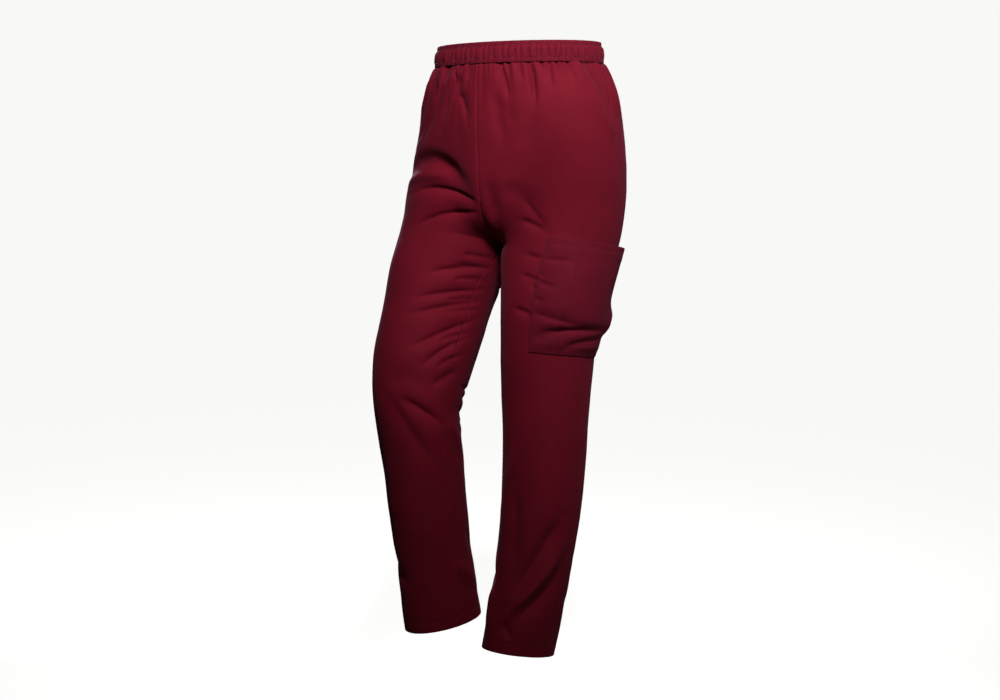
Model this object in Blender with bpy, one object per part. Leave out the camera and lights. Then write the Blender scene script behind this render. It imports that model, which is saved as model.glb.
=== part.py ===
"""Scrub trousers in the shape they keep when worn, with no wearer.

Four leg panels, a gathered elastic waistband, two hip-pocket facings and one cargo pocket, each a thin
closed wall of cloth. The origin is the centre of the waistband at half its height, +Z is up, the front
faces -Y and the wearer's left is +X. Sizes and tables are in millimetres; meshes are made in metres.

A place on the cloth is (side, down, t). down is the distance below the waist seam along the leg. t runs
across one half of the trousers: -1 centre back or inseam, 0 side seam, 1 centre front or inseam.
"""

import math
from collections import namedtuple

import bmesh
import bpy
import numpy as np

MM = 0.001
CLOTH = 1.5
SEAM_GAP = 0.3
SEAM_T = 0.0008
LAY_GAP = 0.45

WAIST_SEAM_Z = -18.0
BAND_HEIGHT = 36.0
WAIST_TILT = 0.017
TILT_FADE = 250.0

FORK_DOWN = 300.0
FORK_Y = 18.0
SPLIT_START = 60.0
SEAM_POWER = 5.0
SPLIT_POWER = 3
PULL_POWER = 2
KEEP_POWER = 6
LEG_REACH = 30.0
EASE_STEP = 11.0
EASE_FULL_DOWN = 120.0
EASE_WEIGHTS = (1, 2, 3, 4, 5, 6, 5, 4, 3, 2, 1)
NORMAL_DOWN = 2.0
NORMAL_T = 0.006
NORMAL_MOST_T = 0.992

LEFT_HEM = 968.0
RIGHT_HEM = 952.0

HIP_POCKET_T = 0.205
HIP_POCKET_DOWN = 138.0
FACING_DOWN = 117.0
FACING_UNDER_T = 0.07
FACING_COLUMNS = 5
FACING_RAMP = 0.6
FACING_DEEPER = 0.8

POCKET_FRONT_COLUMNS = 6
POCKET_BACK_COLUMNS = 3
POCKET_PROUD = 15.0
POCKET_LOW_PROUD = 2.0
POCKET_BULGE_POWER = 4
POCKET_SLANT = 18.0
POCKET_SLANT_POWER = 0.8
POCKET_FLAT = 2.5
POCKET_FOOT = 0.08
POCKET_REAR_LEAN = 1.25
POCKET_FULLNESS = 0.75

PLEATS = 56
PLEAT_LIFT = 2.4
PLEAT_JITTER = 0.24
PLEAT_LEAN = 0.22
WIDTH_SEED, LEAN_SEED = 5, 9
Pleat = namedtuple("Pleat", "share lift")
PLEAT_PROFILE = (Pleat(0.0, 0.0), Pleat(0.3, 1.0), Pleat(0.72, 0.85))

Seat = namedtuple("Seat", "down half_width front back sway")
SEAT = (
    Seat(0, 149, 116, 117, -1),
    Seat(25, 164, 121, 124, 0),
    Seat(60, 176, 124, 131, 2),
    Seat(110, 182, 127, 137, 4),
    Seat(160, 188, 129, 142, 6),
    Seat(220, 200, 134, 147, 6),
    Seat(310, 196, 142, 147, 4),
)

Leg = namedtuple("Leg", "down x y z half_width front back tilt roll yaw")
LEFT_LEG = (
    Leg(300, 0, 0, 0, 81, 94, 92, 2, 0, 0),
    Leg(360, 77, -4, -378, 82, 92, 92, 2, 2, 0),
    Leg(450, 73, -20, -468, 76, 86, 85, 4, 4, 0),
    Leg(540, 73, -28, -558, 70, 79, 79, 5, 4, 0),
    Leg(640, 74, -34, -658, 66, 76, 76, 5, 4, 0),
    Leg(740, 71, -41, -757, 62, 73, 73, 5, 5, 0),
    Leg(850, 60, -51, -866, 58, 71, 71, 5, 6, 0),
    Leg(LEFT_HEM, 45, -68, -982, 55, 70, 70, 6, 6, 0),
)
RIGHT_LEG = (
    Leg(300, 0, 0, 0, 112, 150, 84, 12, 0, 6),
    Leg(365, -117, -40, -378, 89, 108, 88, 18, 0, 12),
    Leg(440, -121, -73, -446, 82, 92, 88, 20, 0, 16),
    Leg(520, -124, -106, -522, 77, 86, 86, 14, 0, 16),
    Leg(585, -123, -119, -584, 69, 77, 77, 2, 0, 16),
    Leg(660, -120, -109, -660, 62, 71, 71, -8, 0, 16),
    Leg(760, -121, -92, -760, 59, 69, 69, -11, 0, 16),
    Leg(860, -119, -73, -860, 56, 68, 68, -11, 0, 16),
    Leg(RIGHT_HEM, -116, -57, -949, 56, 70, 70, -12, 0, 16),
)

# The length of cloth that one unit of t covers, down the leg
Girth = namedtuple("Girth", "down unit")
GIRTH = (Girth(0, 210), Girth(110, 250), Girth(300, 272), Girth(600, 236), Girth(968, 196))

# A fold runs through three places; a positive depth is a trough, a negative one a ridge
Fold = namedtuple("Fold", "down_a t_a down_b t_b down_c t_c depth width")
LEFT_FOLDS = (
    Fold(2, 0.60, 38, 0.61, 78, 0.63, 3.6, 7),
    Fold(2, 0.83, 32, 0.83, 70, 0.84, 2.6, 7),
    Fold(50, 0.87, 100, 0.86, 152, 0.85, 2.6, 13),
    Fold(228, 0.88, 212, 0.76, 276, 0.46, 4.5, 13),
    Fold(190, 0.93, 225, 0.92, 262, 0.88, 4.5, 13),
    Fold(690, 0.54, 765, 0.49, 834, 0.46, 4.0, 14),
    Fold(752, 0.08, 818, 0.32, 864, 0.46, 4.5, 12),
    Fold(765, 0.00, 848, 0.26, 905, 0.70, -4.5, 13),
    Fold(842, 0.12, 890, 0.30, 918, 0.48, 4.5, 11),
    Fold(832, 0.92, 862, 0.84, 895, 0.80, -4.5, 14),
    Fold(318, -0.82, 338, -0.55, 322, -0.28, 4.0, 14),
    Fold(376, -0.92, 360, -0.72, 372, -0.45, 3.0, 13),
    Fold(560, -0.35, 578, -0.60, 558, -0.88, 4.0, 13),
    Fold(612, -0.32, 624, -0.58, 604, -0.85, 3.5, 13),
    Fold(806, -0.22, 858, -0.48, 888, -0.78, 4.0, 13),
    Fold(868, -0.14, 904, -0.38, 926, -0.62, 3.5, 12),
)
RIGHT_FOLDS = (
    Fold(8, 0.72, 87, 0.55, 150, 0.40, -3.0, 9),
    Fold(16, 0.66, 84, 0.47, 140, 0.34, 3.0, 12),
    Fold(8, 0.93, 60, 0.80, 114, 0.72, -2.6, 9),
    Fold(212, 0.20, 166, 0.60, 198, 0.93, 7.0, 18),
    Fold(214, 0.24, 194, 0.56, 182, 0.84, -2.6, 10),
    Fold(230, 0.38, 212, 0.70, 234, 0.95, 5.0, 11),
    Fold(318, 0.40, 264, 0.65, 244, 0.95, 5.0, 13),
    Fold(378, 0.66, 358, 0.83, 338, 0.93, 3.4, 10),
    Fold(424, 0.64, 400, 0.83, 372, 0.97, 4.4, 10),
    Fold(452, 0.60, 424, 0.84, 392, 1.00, 4.4, 10),
    Fold(502, 0.66, 468, 0.86, 424, 1.00, 5.0, 12),
    Fold(528, 0.76, 494, 0.90, 455, 1.00, 4.0, 11),
    Fold(550, 0.88, 534, 0.97, 515, 1.06, 3.6, 11),
    Fold(570, 0.66, 584, 0.83, 612, 1.04, 4.0, 11),
    Fold(566, 0.56, 614, 0.74, 682, 0.92, 4.0, 12),
    Fold(596, -0.98, 630, -0.88, 668, -0.78, -4.5, 12),
    Fold(580, -0.30, 598, -0.58, 584, -0.86, 5.0, 13),
    Fold(632, -0.26, 648, -0.52, 632, -0.74, 4.0, 13),
    Fold(794, -0.80, 820, -0.74, 848, -0.66, 5.0, 13),
    Fold(838, -1.02, 866, -0.90, 896, -0.76, -5.0, 13),
    Fold(786, 0.10, 838, 0.34, 880, 0.66, 3.6, 13),
    Fold(316, -0.84, 336, -0.56, 318, -0.26, 4.5, 14),
    Fold(204, 0.08, 222, -0.20, 258, -0.48, 4.0, 15),
    Fold(862, -0.20, 892, -0.44, 914, -0.66, 3.5, 12),
)
POCKET_FOLDS = (
    Fold(456, 0.40, 432, 0.22, 424, -0.20, 3.6, 9),
    Fold(466, 0.20, 448, 0.08, 436, -0.22, 3.6, 9),
    Fold(408, 0.42, 414, 0.30, 422, 0.08, 2.2, 8),
)
FOLD_STEPS = 14
FOLD_FADE = 0.3
FOLD_END_SHARE = 0.35
SEAM_FADE_T = 0.07

# Short gathers that hang from the waist seam, spread over a stretch of t in each panel
Gathers = namedtuple("Gathers", "first last count")
FRONT_GATHERS = Gathers(0.30, 0.97, 7)
BACK_GATHERS = Gathers(-0.97, -0.10, 8)
GATHER_DEPTH = 2.2
GATHER_PUFF = 2.0
GATHER_WIDTH = 6.0
GATHER_SHORTEST = 22.0
GATHER_SPREAD = 46.0
GATHER_STRAY = 0.25
FRONT_SEED, BACK_SEED, LENGTH_SEED = 1, 2, 7

TOP_ROWS = (0, 10, 24, 42, 66, 96)
SEAT_ROWS = (117, 138, 156, 172, 187, 201, 215, 229, 243, 257, 271, 285, 295, 300)
POCKET_ROWS = (285, 300, 320, 342, 364, 386, 408, 430, 452, 474)
LEFT_ROWS = POCKET_ROWS[2:] + tuple(np.linspace(502, LEFT_HEM, 16))
RIGHT_ROWS = tuple(np.linspace(313, 560, 20)) + tuple(np.linspace(588, RIGHT_HEM, 13))

Panel = namedtuple("Panel", "name side edge columns")
PANELS = (
    Panel("front_left", 1, 1, 14),
    Panel("back_left", 1, -1, 12),
    Panel("front_right", -1, 1, 16),
    Panel("back_right", -1, -1, 12),
)

# The waistband's section: height above its middle, its set-out from the seam's ellipse, and its pleat depth
Band = namedtuple("Band", "height set_out pleat")
BAND = (
    Band(-17.7, 0.0, 0.25),
    Band(-11.0, 0.4, 0.35),
    Band(-8.0, 2.2, 0.9),
    Band(1.0, 2.6, 1.0),
    Band(9.0, -0.6, 0.6),
    Band(10.5, -1.6, 0.4),
    Band(18.0, -3.4, 0.8),
)
BAND_INSIDE = BAND[::3]

# Rates with no common period, so that what follows them never repeats
WANDER_STEP, WANDER_SEED, WANDER_SLOW = 12.9898, 78.233, 4.1414

Cloth = namedtuple("Cloth", "name colour roughness")
PANEL_CLOTH = Cloth("burgundy_twill", (0.155, 0.012, 0.030, 1.0), 0.62)
BAND_CLOTH = Cloth("burgundy_waistband_twill", (0.150, 0.012, 0.030, 1.0), 0.62)
POCKET_CLOTH = Cloth("burgundy_pocket_twill", (0.145, 0.012, 0.030, 1.0), 0.62)
FACING_CLOTH = Cloth("burgundy_facing_twill", (0.125, 0.010, 0.026, 1.0), 0.66)


def curve(places, values, at):
    """A smooth curve through a table's column, straight on past both ends."""
    places = np.asarray(places, float)
    values = np.asarray(values, float)
    slopes = np.gradient(values, places)
    i = np.clip(np.searchsorted(places, at, side="right") - 1, 0, len(places) - 2)
    step = places[i + 1] - places[i]
    u = (at - places[i]) / step
    v = np.clip(u, 0, 1)
    start = (2 * v**3 - 3 * v**2 + 1) * values[i] + (v**3 - 2 * v**2 + v) * step * slopes[i]
    end = (3 * v**2 - 2 * v**3) * values[i + 1] + (v**3 - v**2) * step * slopes[i + 1]
    return start + end + (u - v) * step * np.where(u < 0, slopes[i], slopes[i + 1])


def along(table, column, down):
    """One column of a table, read at each distance down."""
    return curve([row.down for row in table], [getattr(row, column) for row in table], down)


def stack(x, y, z):
    """Three coordinates joined as points."""
    return np.stack(np.broadcast_arrays(x, y, z), -1)


def leg_axes(table, side, down):
    """The directions across the leg's section, outwards and to the front."""
    tilt, roll, yaw = (np.radians(along(table, name, down)) for name in ("tilt", "roll", "yaw"))
    across = stack(side * np.cos(yaw) * np.cos(roll), np.sin(yaw) * np.cos(roll), -np.sin(roll))
    front = stack(side * np.sin(yaw) * np.cos(tilt), -np.cos(yaw) * np.cos(tilt), np.sin(tilt))
    return across, front


def leg_centres(table, side):
    """The centre of each section. The first stands one half-width outside the fork."""
    across = leg_axes(table, side, np.float64(FORK_DOWN))[0]
    fork = np.array([along(SEAT, "sway", FORK_DOWN), FORK_Y, WAIST_SEAM_Z - FORK_DOWN])
    return np.array([fork + across * table[0].half_width] + [(row.x, row.y, row.z) for row in table[1:]])


def leg_tube(side, down, t):
    """A place on the leg's own tube, an oval round each section's centre."""
    table = LEFT_LEG if side > 0 else RIGHT_LEG
    across, front = leg_axes(table, side, down)
    centres = leg_centres(table, side)
    downs = [row.down for row in table]
    centre = np.stack([curve(downs, centres[:, i], down) for i in range(3)], -1)
    depth = np.where(t > 0, along(table, "front", down), along(table, "back", down))
    wide = along(table, "half_width", down) * np.cos(math.pi * t)
    return centre + across * wide[..., None] + front * (depth * np.sin(math.pi * t))[..., None]


def seat_arc(side, down, t):
    """The half of the seat's oval on one side, from centre back to centre front."""
    angle = t * math.pi / 2
    x = along(SEAT, "sway", down) + side * along(SEAT, "half_width", down) * np.cos(angle)
    depth = np.where(t > 0, along(SEAT, "front", down), along(SEAT, "back", down))
    return stack(x, -depth * np.sin(angle), WAIST_SEAM_Z - down)


def inner_share(t, power):
    """1 at the centre seams and the inseam, falling to 0 at the side seam."""
    return ((1 - np.cos(math.pi * t)) / 2) ** power


def raw_point(side, down, t):
    """The surface before its change from seat to leg is eased."""
    above = np.minimum(down, FORK_DOWN)
    eased = FORK_DOWN - LEG_REACH * (1 - np.exp(-(FORK_DOWN - above) / LEG_REACH))
    section = np.where(down > FORK_DOWN, down, eased)
    lift = stack(0 * above, 0 * above, np.where(down > FORK_DOWN, 0, section - above))
    seam = stack(along(SEAT, "sway", above), FORK_Y, WAIST_SEAM_Z - above)
    astray = leg_tube(side, section, np.ones_like(t)) + lift - seam
    pull = np.where(down > FORK_DOWN, 0, inner_share(t, PULL_POWER))
    leg = leg_tube(side, section, t) + lift - pull[..., None] * astray
    u = np.clip((above - SPLIT_START) / (FORK_DOWN - SPLIT_START), 0, 1)
    at_seam = inner_share(t, SPLIT_POWER)
    share = ((1 - at_seam) * u * u * (3 - 2 * u) + at_seam * u**SEAM_POWER)[..., None]
    point = (1 - share) * seat_arc(side, above, t) + share * leg
    point[..., 2] += point[..., 0] * WAIST_TILT * np.clip(1 - down / TILT_FADE, 0, 1)
    return point


def plain_point(side, down, t):
    """The trousers' surface without folds."""
    middle = len(EASE_WEIGHTS) // 2
    step = EASE_STEP * np.clip(down / EASE_FULL_DOWN, 0, 1)
    soft = sum(
        weight * raw_point(side, down + (i - middle) * step, t) for i, weight in enumerate(EASE_WEIGHTS)
    ) / sum(EASE_WEIGHTS)
    keep = inner_share(t, KEEP_POWER)[..., None]
    return keep * raw_point(side, down, t) + (1 - keep) * soft


def outward(side, down, t):
    """The surface's unit normal, away from the body of the leg."""
    t = np.where(down < FORK_DOWN, np.clip(t, -NORMAL_MOST_T, NORMAL_MOST_T), t)
    along_leg = plain_point(side, down + NORMAL_DOWN, t) - plain_point(side, down - NORMAL_DOWN, t)
    across = plain_point(side, down, t + NORMAL_T) - plain_point(side, down, t - NORMAL_T)
    normal = side * np.cross(across, along_leg)
    return normal / np.linalg.norm(normal, axis=-1, keepdims=True)


def fold_path(fold):
    """The fold's line as (down, t) places on a curve through its three places."""
    u = np.linspace(0, 1, FOLD_STEPS)[:, None]
    a = np.array([fold.down_a, fold.t_a])
    b = np.array([fold.down_b, fold.t_b])
    c = np.array([fold.down_c, fold.t_c])
    return (1 - u) * (1 - 2 * u) * a + 4 * u * (1 - u) * b + u * (2 * u - 1) * c


def fold_lift(fold, down, t):
    """How far one fold moves the cloth outwards at each place."""
    unit = float(along(GIRTH, "unit", fold.down_b))
    path = fold_path(fold)
    nearest = np.full(down.shape, np.inf)
    place = np.zeros(down.shape)
    for i in range(FOLD_STEPS - 1):
        run = (path[i + 1] - path[i]) * (1, unit)
        apart_t = (t - path[i][1] + 1) % 2 - 1
        from_start = np.stack([down - path[i][0], apart_t * unit], -1)
        share = np.clip(from_start @ run / (run @ run), 0, 1)
        distance = np.linalg.norm(from_start - share[..., None] * run, axis=-1)
        closer = distance < nearest
        nearest = np.where(closer, distance, nearest)
        place = np.where(closer, (i + share) / (FOLD_STEPS - 1), place)
    ends = np.clip(np.minimum(place, 1 - place) / FOLD_FADE, 0, 1)
    swell = FOLD_END_SHARE + (1 - FOLD_END_SHARE) * ends * ends * (3 - 2 * ends)
    return -fold.depth * np.exp(-((nearest / fold.width) ** 2)) * swell


def wander(i, seed):
    """A fixed uneven number from -1 to 1 for the i-th gather or pleat."""
    return math.sin(WANDER_STEP * i + WANDER_SEED * seed) * math.cos(WANDER_SLOW * i + seed)


def gather_lift(side, down, t):
    """The cloth puffed out under the waistband, and its short troughs, deepest at the seam."""
    total = GATHER_PUFF * np.clip(down / GATHER_WIDTH, 0, 1) * np.exp(-down / GATHER_SPREAD)
    for seed, group in ((FRONT_SEED, FRONT_GATHERS), (BACK_SEED, BACK_GATHERS)):
        pitch = (group.last - group.first) / (group.count - 1)
        for i in range(group.count):
            middle = group.first + pitch * (i + GATHER_STRAY * wander(i, seed + side))
            length = GATHER_SHORTEST + GATHER_SPREAD * abs(wander(i + LENGTH_SEED, seed + side))
            apart = (t - middle) * GIRTH[0].unit / GATHER_WIDTH
            total -= GATHER_DEPTH * np.exp(-(apart**2)) * np.exp(-((down / length) ** 2))
    return total


def relief(side, down, t):
    """All folds and gathers at each place. They fade out beside the centre seams, which both halves share."""
    folds = LEFT_FOLDS if side > 0 else RIGHT_FOLDS
    total = sum(fold_lift(fold, down, t) for fold in folds) + gather_lift(side, down, t)
    from_seam = np.clip((1 - np.abs(t)) / SEAM_FADE_T, 0, 1)
    fade = from_seam * from_seam * (3 - 2 * from_seam)
    below = np.clip((down - FORK_DOWN) / LEG_REACH, 0, 1)
    return total * (fade + (1 - fade) * below)


def middle_x(down):
    """The x of the plane that parts the two halves, slanting down between the thighs."""
    ones = np.ones_like(down)
    left = plain_point(1, np.maximum(down, FORK_DOWN), ones)[..., 0]
    right = plain_point(-1, np.maximum(down, FORK_DOWN), ones)[..., 0]
    return np.where(down < FORK_DOWN, along(SEAT, "sway", down), (left + right) / 2)


def cloth_wall(side, down, t, out=0.0):
    """The outer and inner faces of a stretch of folded cloth, moved out from the leg's own surface.

    Both faces are kept on their own side of the plane that parts the two halves.
    """
    down, t, out = np.broadcast_arrays(np.asarray(down, float), np.asarray(t, float), out)
    surface = plain_point(side, down, t)
    normal = outward(side, down, t)
    moved = relief(side, down, t) + out
    faces = [surface + normal * (moved - inwards)[..., None] for inwards in (0.0, CLOTH)]
    middle = middle_x(down[:, 0])[:, None]
    for face in faces:
        clear = side * (face[..., 0] - middle)
        face[..., 0] += side * np.maximum(SEAM_GAP / 2 - clear, 0)
    return faces


def add_strip(bm, upper, lower):
    """Triangles between two rows of vertices, where the upper may have twice the columns."""
    double = len(upper) > len(lower)
    for j in range(len(lower) - 1):
        if double:
            first, second, third = upper[2 * j : 2 * j + 3]
            bm.faces.new((first, lower[j], second))
            bm.faces.new((second, lower[j], lower[j + 1]))
            bm.faces.new((second, lower[j + 1], third))
        else:
            bm.faces.new((upper[j], lower[j], upper[j + 1]))
            bm.faces.new((upper[j + 1], lower[j], lower[j + 1]))


def cloth_mesh(name, outer, inner):
    """A closed wall from the rows of its outer face and of its inner face."""
    bm = bmesh.new()
    faces = [[[bm.verts.new(point * MM) for point in row] for row in rows] for rows in (outer, inner)]
    for rows in faces:
        for upper, lower in zip(rows, rows[1:]):
            add_strip(bm, upper, lower)
    out, back = faces
    for end in (0, -1):
        add_strip(bm, out[end], back[end])
        add_strip(bm, [row[end] for row in out], [row[end] for row in back])
    bmesh.ops.recalc_face_normals(bm, faces=bm.faces[:])
    mesh = bpy.data.meshes.new(name)
    bm.to_mesh(mesh)
    bm.free()
    return mesh


def ring_mesh(name, rings):
    """A closed wall round the body from closed rings: down the outside, then up the inside."""
    bm = bmesh.new()
    rows = [[bm.verts.new(point * MM) for point in ring] for ring in rings]
    for upper, lower in zip(rows, rows[1:] + rows[:1]):
        add_strip(bm, upper + upper[:1], lower + lower[:1])
    bmesh.ops.recalc_face_normals(bm, faces=bm.faces[:])
    mesh = bpy.data.meshes.new(name)
    bm.to_mesh(mesh)
    bm.free()
    return mesh


def pocket_edge_t(down):
    """Where the hip pocket's slanting edge cuts the front panel."""
    return HIP_POCKET_T * np.clip(1 - down / HIP_POCKET_DOWN, 0, 1)


def panel_grid(panel, rows, columns):
    """Both faces of the rows of a panel that have the same number of columns."""
    down = np.array(rows, float)[:, None]
    first = SEAM_T + (pocket_edge_t(down) if panel.edge > 0 else 0 * down)
    share = np.linspace(0, 1, columns + 1)
    return cloth_wall(panel.side, down, panel.edge * (first + share * (1 - SEAM_T - first)))


def panel_mesh(panel):
    """A leg panel, with twice the columns along the waist, where it is gathered."""
    top = panel_grid(panel, TOP_ROWS, 2 * panel.columns)
    rest = panel_grid(panel, SEAT_ROWS + (LEFT_ROWS if panel.side > 0 else RIGHT_ROWS), panel.columns)
    return cloth_mesh(panel.name, list(top[0]) + list(rest[0]), list(top[1]) + list(rest[1]))


def facing_mesh(name, side):
    """A hip pocket's facing, from the side seam to under the front panel, where it lies one layer in."""
    down = np.array([row for row in TOP_ROWS + SEAT_ROWS if row <= FACING_DOWN], float)[:, None]
    edge = pocket_edge_t(down)
    shown = SEAM_T + np.linspace(0, 1, FACING_COLUMNS) * (edge - SEAM_T)
    t = np.concatenate([shown, edge + FACING_UNDER_T], 1)
    under = np.minimum((t - SEAM_T) / (edge * FACING_RAMP), 1)
    return cloth_mesh(name, *cloth_wall(side, down, t, -(CLOTH + FACING_DEEPER) * under))


def pocket_stand(down, across):
    """How far the cargo pocket stands off its leg: sewn down at three edges and open at the mouth."""
    fall = (down - POCKET_ROWS[0]) / (POCKET_ROWS[-1] - POCKET_ROWS[0])
    height = POCKET_PROUD * (1 - fall**POCKET_BULGE_POWER) + POCKET_LOW_PROUD * fall
    height = height * np.clip((1 - fall) / POCKET_FOOT, 0, 1)
    crown = np.clip(np.sin(math.pi * across**POCKET_REAR_LEAN), 0, 1) ** POCKET_FULLNESS
    return height * crown


def pocket_level(down, across):
    """Where each of the pocket's levels lies: the mouth slants down to the rear, and the foot is level."""
    fall = (down - POCKET_ROWS[0]) / (POCKET_ROWS[-1] - POCKET_ROWS[0])
    return down + POCKET_SLANT * across**POCKET_SLANT_POWER * (1 - fall)


def pocket_mesh(name):
    """The cargo pocket, made on the left leg's own columns across the side seam."""
    front = np.linspace(SEAM_T, 1 - SEAM_T, PANELS[0].columns + 1)[: POCKET_FRONT_COLUMNS + 1]
    back = np.linspace(SEAM_T, 1 - SEAM_T, PANELS[1].columns + 1)[1 : POCKET_BACK_COLUMNS + 1]
    t = np.concatenate([front[::-1], -back])[None, :]
    down = np.array(POCKET_ROWS, float)[:, None]
    across = (t[0, 0] - t) / (t[0, 0] - t[0, -1])
    down, t, across = np.broadcast_arrays(down, t, across)
    stand = pocket_stand(down, across)
    folds = sum(fold_lift(fold, down, t) for fold in POCKET_FOLDS)
    stand = np.maximum(stand + folds * np.clip(stand / POCKET_FLAT, 0, 1), 0)
    return cloth_mesh(name, *cloth_wall(1, pocket_level(down, across), t, stand + LAY_GAP + CLOTH))


def pleat_columns():
    """The angle of each column round the band, its share of the pleat's lift, and its lean."""
    widths = np.array([1 + PLEAT_JITTER * wander(i, WIDTH_SEED) for i in range(PLEATS)])
    starts = 2 * math.pi * np.concatenate([[0], np.cumsum(widths)]) / widths.sum()
    columns = []
    for i in range(PLEATS):
        width = starts[i + 1] - starts[i]
        lean = PLEAT_LEAN * width * wander(i, LEAN_SEED)
        columns += [(starts[i] + row.share * width, row.lift, lean) for row in PLEAT_PROFILE]
    return np.array(columns)


def band_ring(columns, height, set_out, lift):
    """A ring of the waistband, following the waist seam's oval."""
    angle = columns[:, 0] + columns[:, 2] * height / BAND_HEIGHT
    waist = SEAT[0]
    out = set_out + lift * columns[:, 1]
    depth = np.where(np.sin(angle) > 0, waist.back, waist.front)
    x = waist.sway + (waist.half_width + out) * np.cos(angle)
    y = (depth + out) * np.sin(angle)
    return stack(x, y, height + WAIST_TILT * x)


def waistband_mesh(name):
    columns = pleat_columns()
    outer = [band_ring(columns, row.height, row.set_out, PLEAT_LIFT * row.pleat) for row in BAND]
    inner = [band_ring(columns, row.height, row.set_out - CLOTH, 0.0) for row in BAND_INSIDE]
    return ring_mesh(name, outer[::-1] + inner)


def cloth_material(cloth):
    material = bpy.data.materials.new(cloth.name)
    material.use_nodes = True
    shader = material.node_tree.nodes["Principled BSDF"]
    shader.inputs["Base Color"].default_value = cloth.colour
    shader.inputs["Roughness"].default_value = cloth.roughness
    shader.inputs["Metallic"].default_value = 0.0
    material.diffuse_color = cloth.colour
    return material


def add_piece(collection, mesh, material):
    mesh.materials.append(material)
    mesh.shade_smooth()
    piece = bpy.data.objects.new(mesh.name, mesh)
    collection.objects.link(piece)
    return piece


def clear_scene():
    for thing in list(bpy.data.objects):
        bpy.data.objects.remove(thing, do_unlink=True)


def main():
    clear_scene()
    trousers = bpy.data.collections.new("scrub_trousers")
    bpy.context.scene.collection.children.link(trousers)
    panel_cloth = cloth_material(PANEL_CLOTH)
    facing_cloth = cloth_material(FACING_CLOTH)
    for panel in PANELS:
        add_piece(trousers, panel_mesh(panel), panel_cloth)
    add_piece(trousers, facing_mesh("hip_facing_left", 1), facing_cloth)
    add_piece(trousers, facing_mesh("hip_facing_right", -1), facing_cloth)
    add_piece(trousers, pocket_mesh("cargo_pocket"), cloth_material(POCKET_CLOTH))
    add_piece(trousers, waistband_mesh("waistband"), cloth_material(BAND_CLOTH))


main()
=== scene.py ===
"""Burgundy scrub trousers in their worn, hollow shape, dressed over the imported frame.

Each cloth piece is a thin shell on its solid's own form. A place on the cloth is (down, t): down is the
distance in millimetres below the waist seam along the leg, and t runs across one half of the trousers, from
-1 at the centre back or inseam, through 0 at the side seam, to 1 at the centre front or inseam. Sizes are in
millimetres until a mesh is made.
"""

import logging
import math
from collections.abc import Callable, Sequence
from dataclasses import dataclass, field
from enum import Enum
from typing import NamedTuple

import bmesh
import bpy
import numpy as np
from mathutils import Matrix, Vector


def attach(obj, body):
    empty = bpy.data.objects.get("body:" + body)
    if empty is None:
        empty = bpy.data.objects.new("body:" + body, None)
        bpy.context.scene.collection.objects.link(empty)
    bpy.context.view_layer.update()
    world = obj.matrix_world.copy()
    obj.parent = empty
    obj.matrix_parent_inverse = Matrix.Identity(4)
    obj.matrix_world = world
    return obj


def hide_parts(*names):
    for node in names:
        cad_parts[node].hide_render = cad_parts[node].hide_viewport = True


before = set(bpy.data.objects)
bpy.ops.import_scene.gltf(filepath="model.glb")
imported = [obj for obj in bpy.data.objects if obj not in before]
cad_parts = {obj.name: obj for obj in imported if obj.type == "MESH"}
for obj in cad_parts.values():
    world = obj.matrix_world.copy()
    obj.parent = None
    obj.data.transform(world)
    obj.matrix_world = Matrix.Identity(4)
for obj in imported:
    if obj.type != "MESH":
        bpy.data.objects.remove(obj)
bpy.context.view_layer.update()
LOG = logging.getLogger("scrub_trousers")

Array = np.ndarray
MM = 0.001
UV_NAME = "cloth"


class Side(Enum):
    """The wearer's left or right half, with the sign of its x."""

    LEFT = 1
    RIGHT = -1


class Edge(Enum):
    """Which panel of a half: from the side seam to the front, or to the back."""

    FRONT = 1
    BACK = -1


class SeatRow(NamedTuple):
    """One level of the seat's oval: its half-width, its depths to front and back, and its sideways place."""

    down: float
    half_width: float
    front: float
    back: float
    sway: float


class LegRow(NamedTuple):
    """One section of a leg: its centre, its half-width and depths, and how it is turned, in degrees."""

    down: float
    x: float
    y: float
    z: float
    half_width: float
    front: float
    back: float
    tilt: float
    roll: float
    yaw: float


class GirthRow(NamedTuple):
    """The length of cloth that one unit of t covers at one level."""

    down: float
    unit: float


class Crease(NamedTuple):
    """A trough through three places, or a ridge where depth is negative.

    lean widens the flank above a crease that runs towards greater t, and narrows the one below it. bite is
    the power of its section: 2 is soft and round, and nearer 1 is a sharp line.
    """

    down_a: float
    t_a: float
    down_b: float
    t_b: float
    down_c: float
    t_c: float
    depth: float
    width: float
    lean: float = 0.0
    bite: float = 2.0


class BandRow(NamedTuple):
    """A level of the waistband's section: its height, its set-out from the seam, and its share of pleat."""

    height: float
    set_out: float
    pleat: float


def rows_of(kind: type, *rows: tuple[float, ...]) -> tuple:
    """Plain rows of numbers as named rows of one kind."""
    return tuple(kind(*row) for row in rows)


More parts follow.
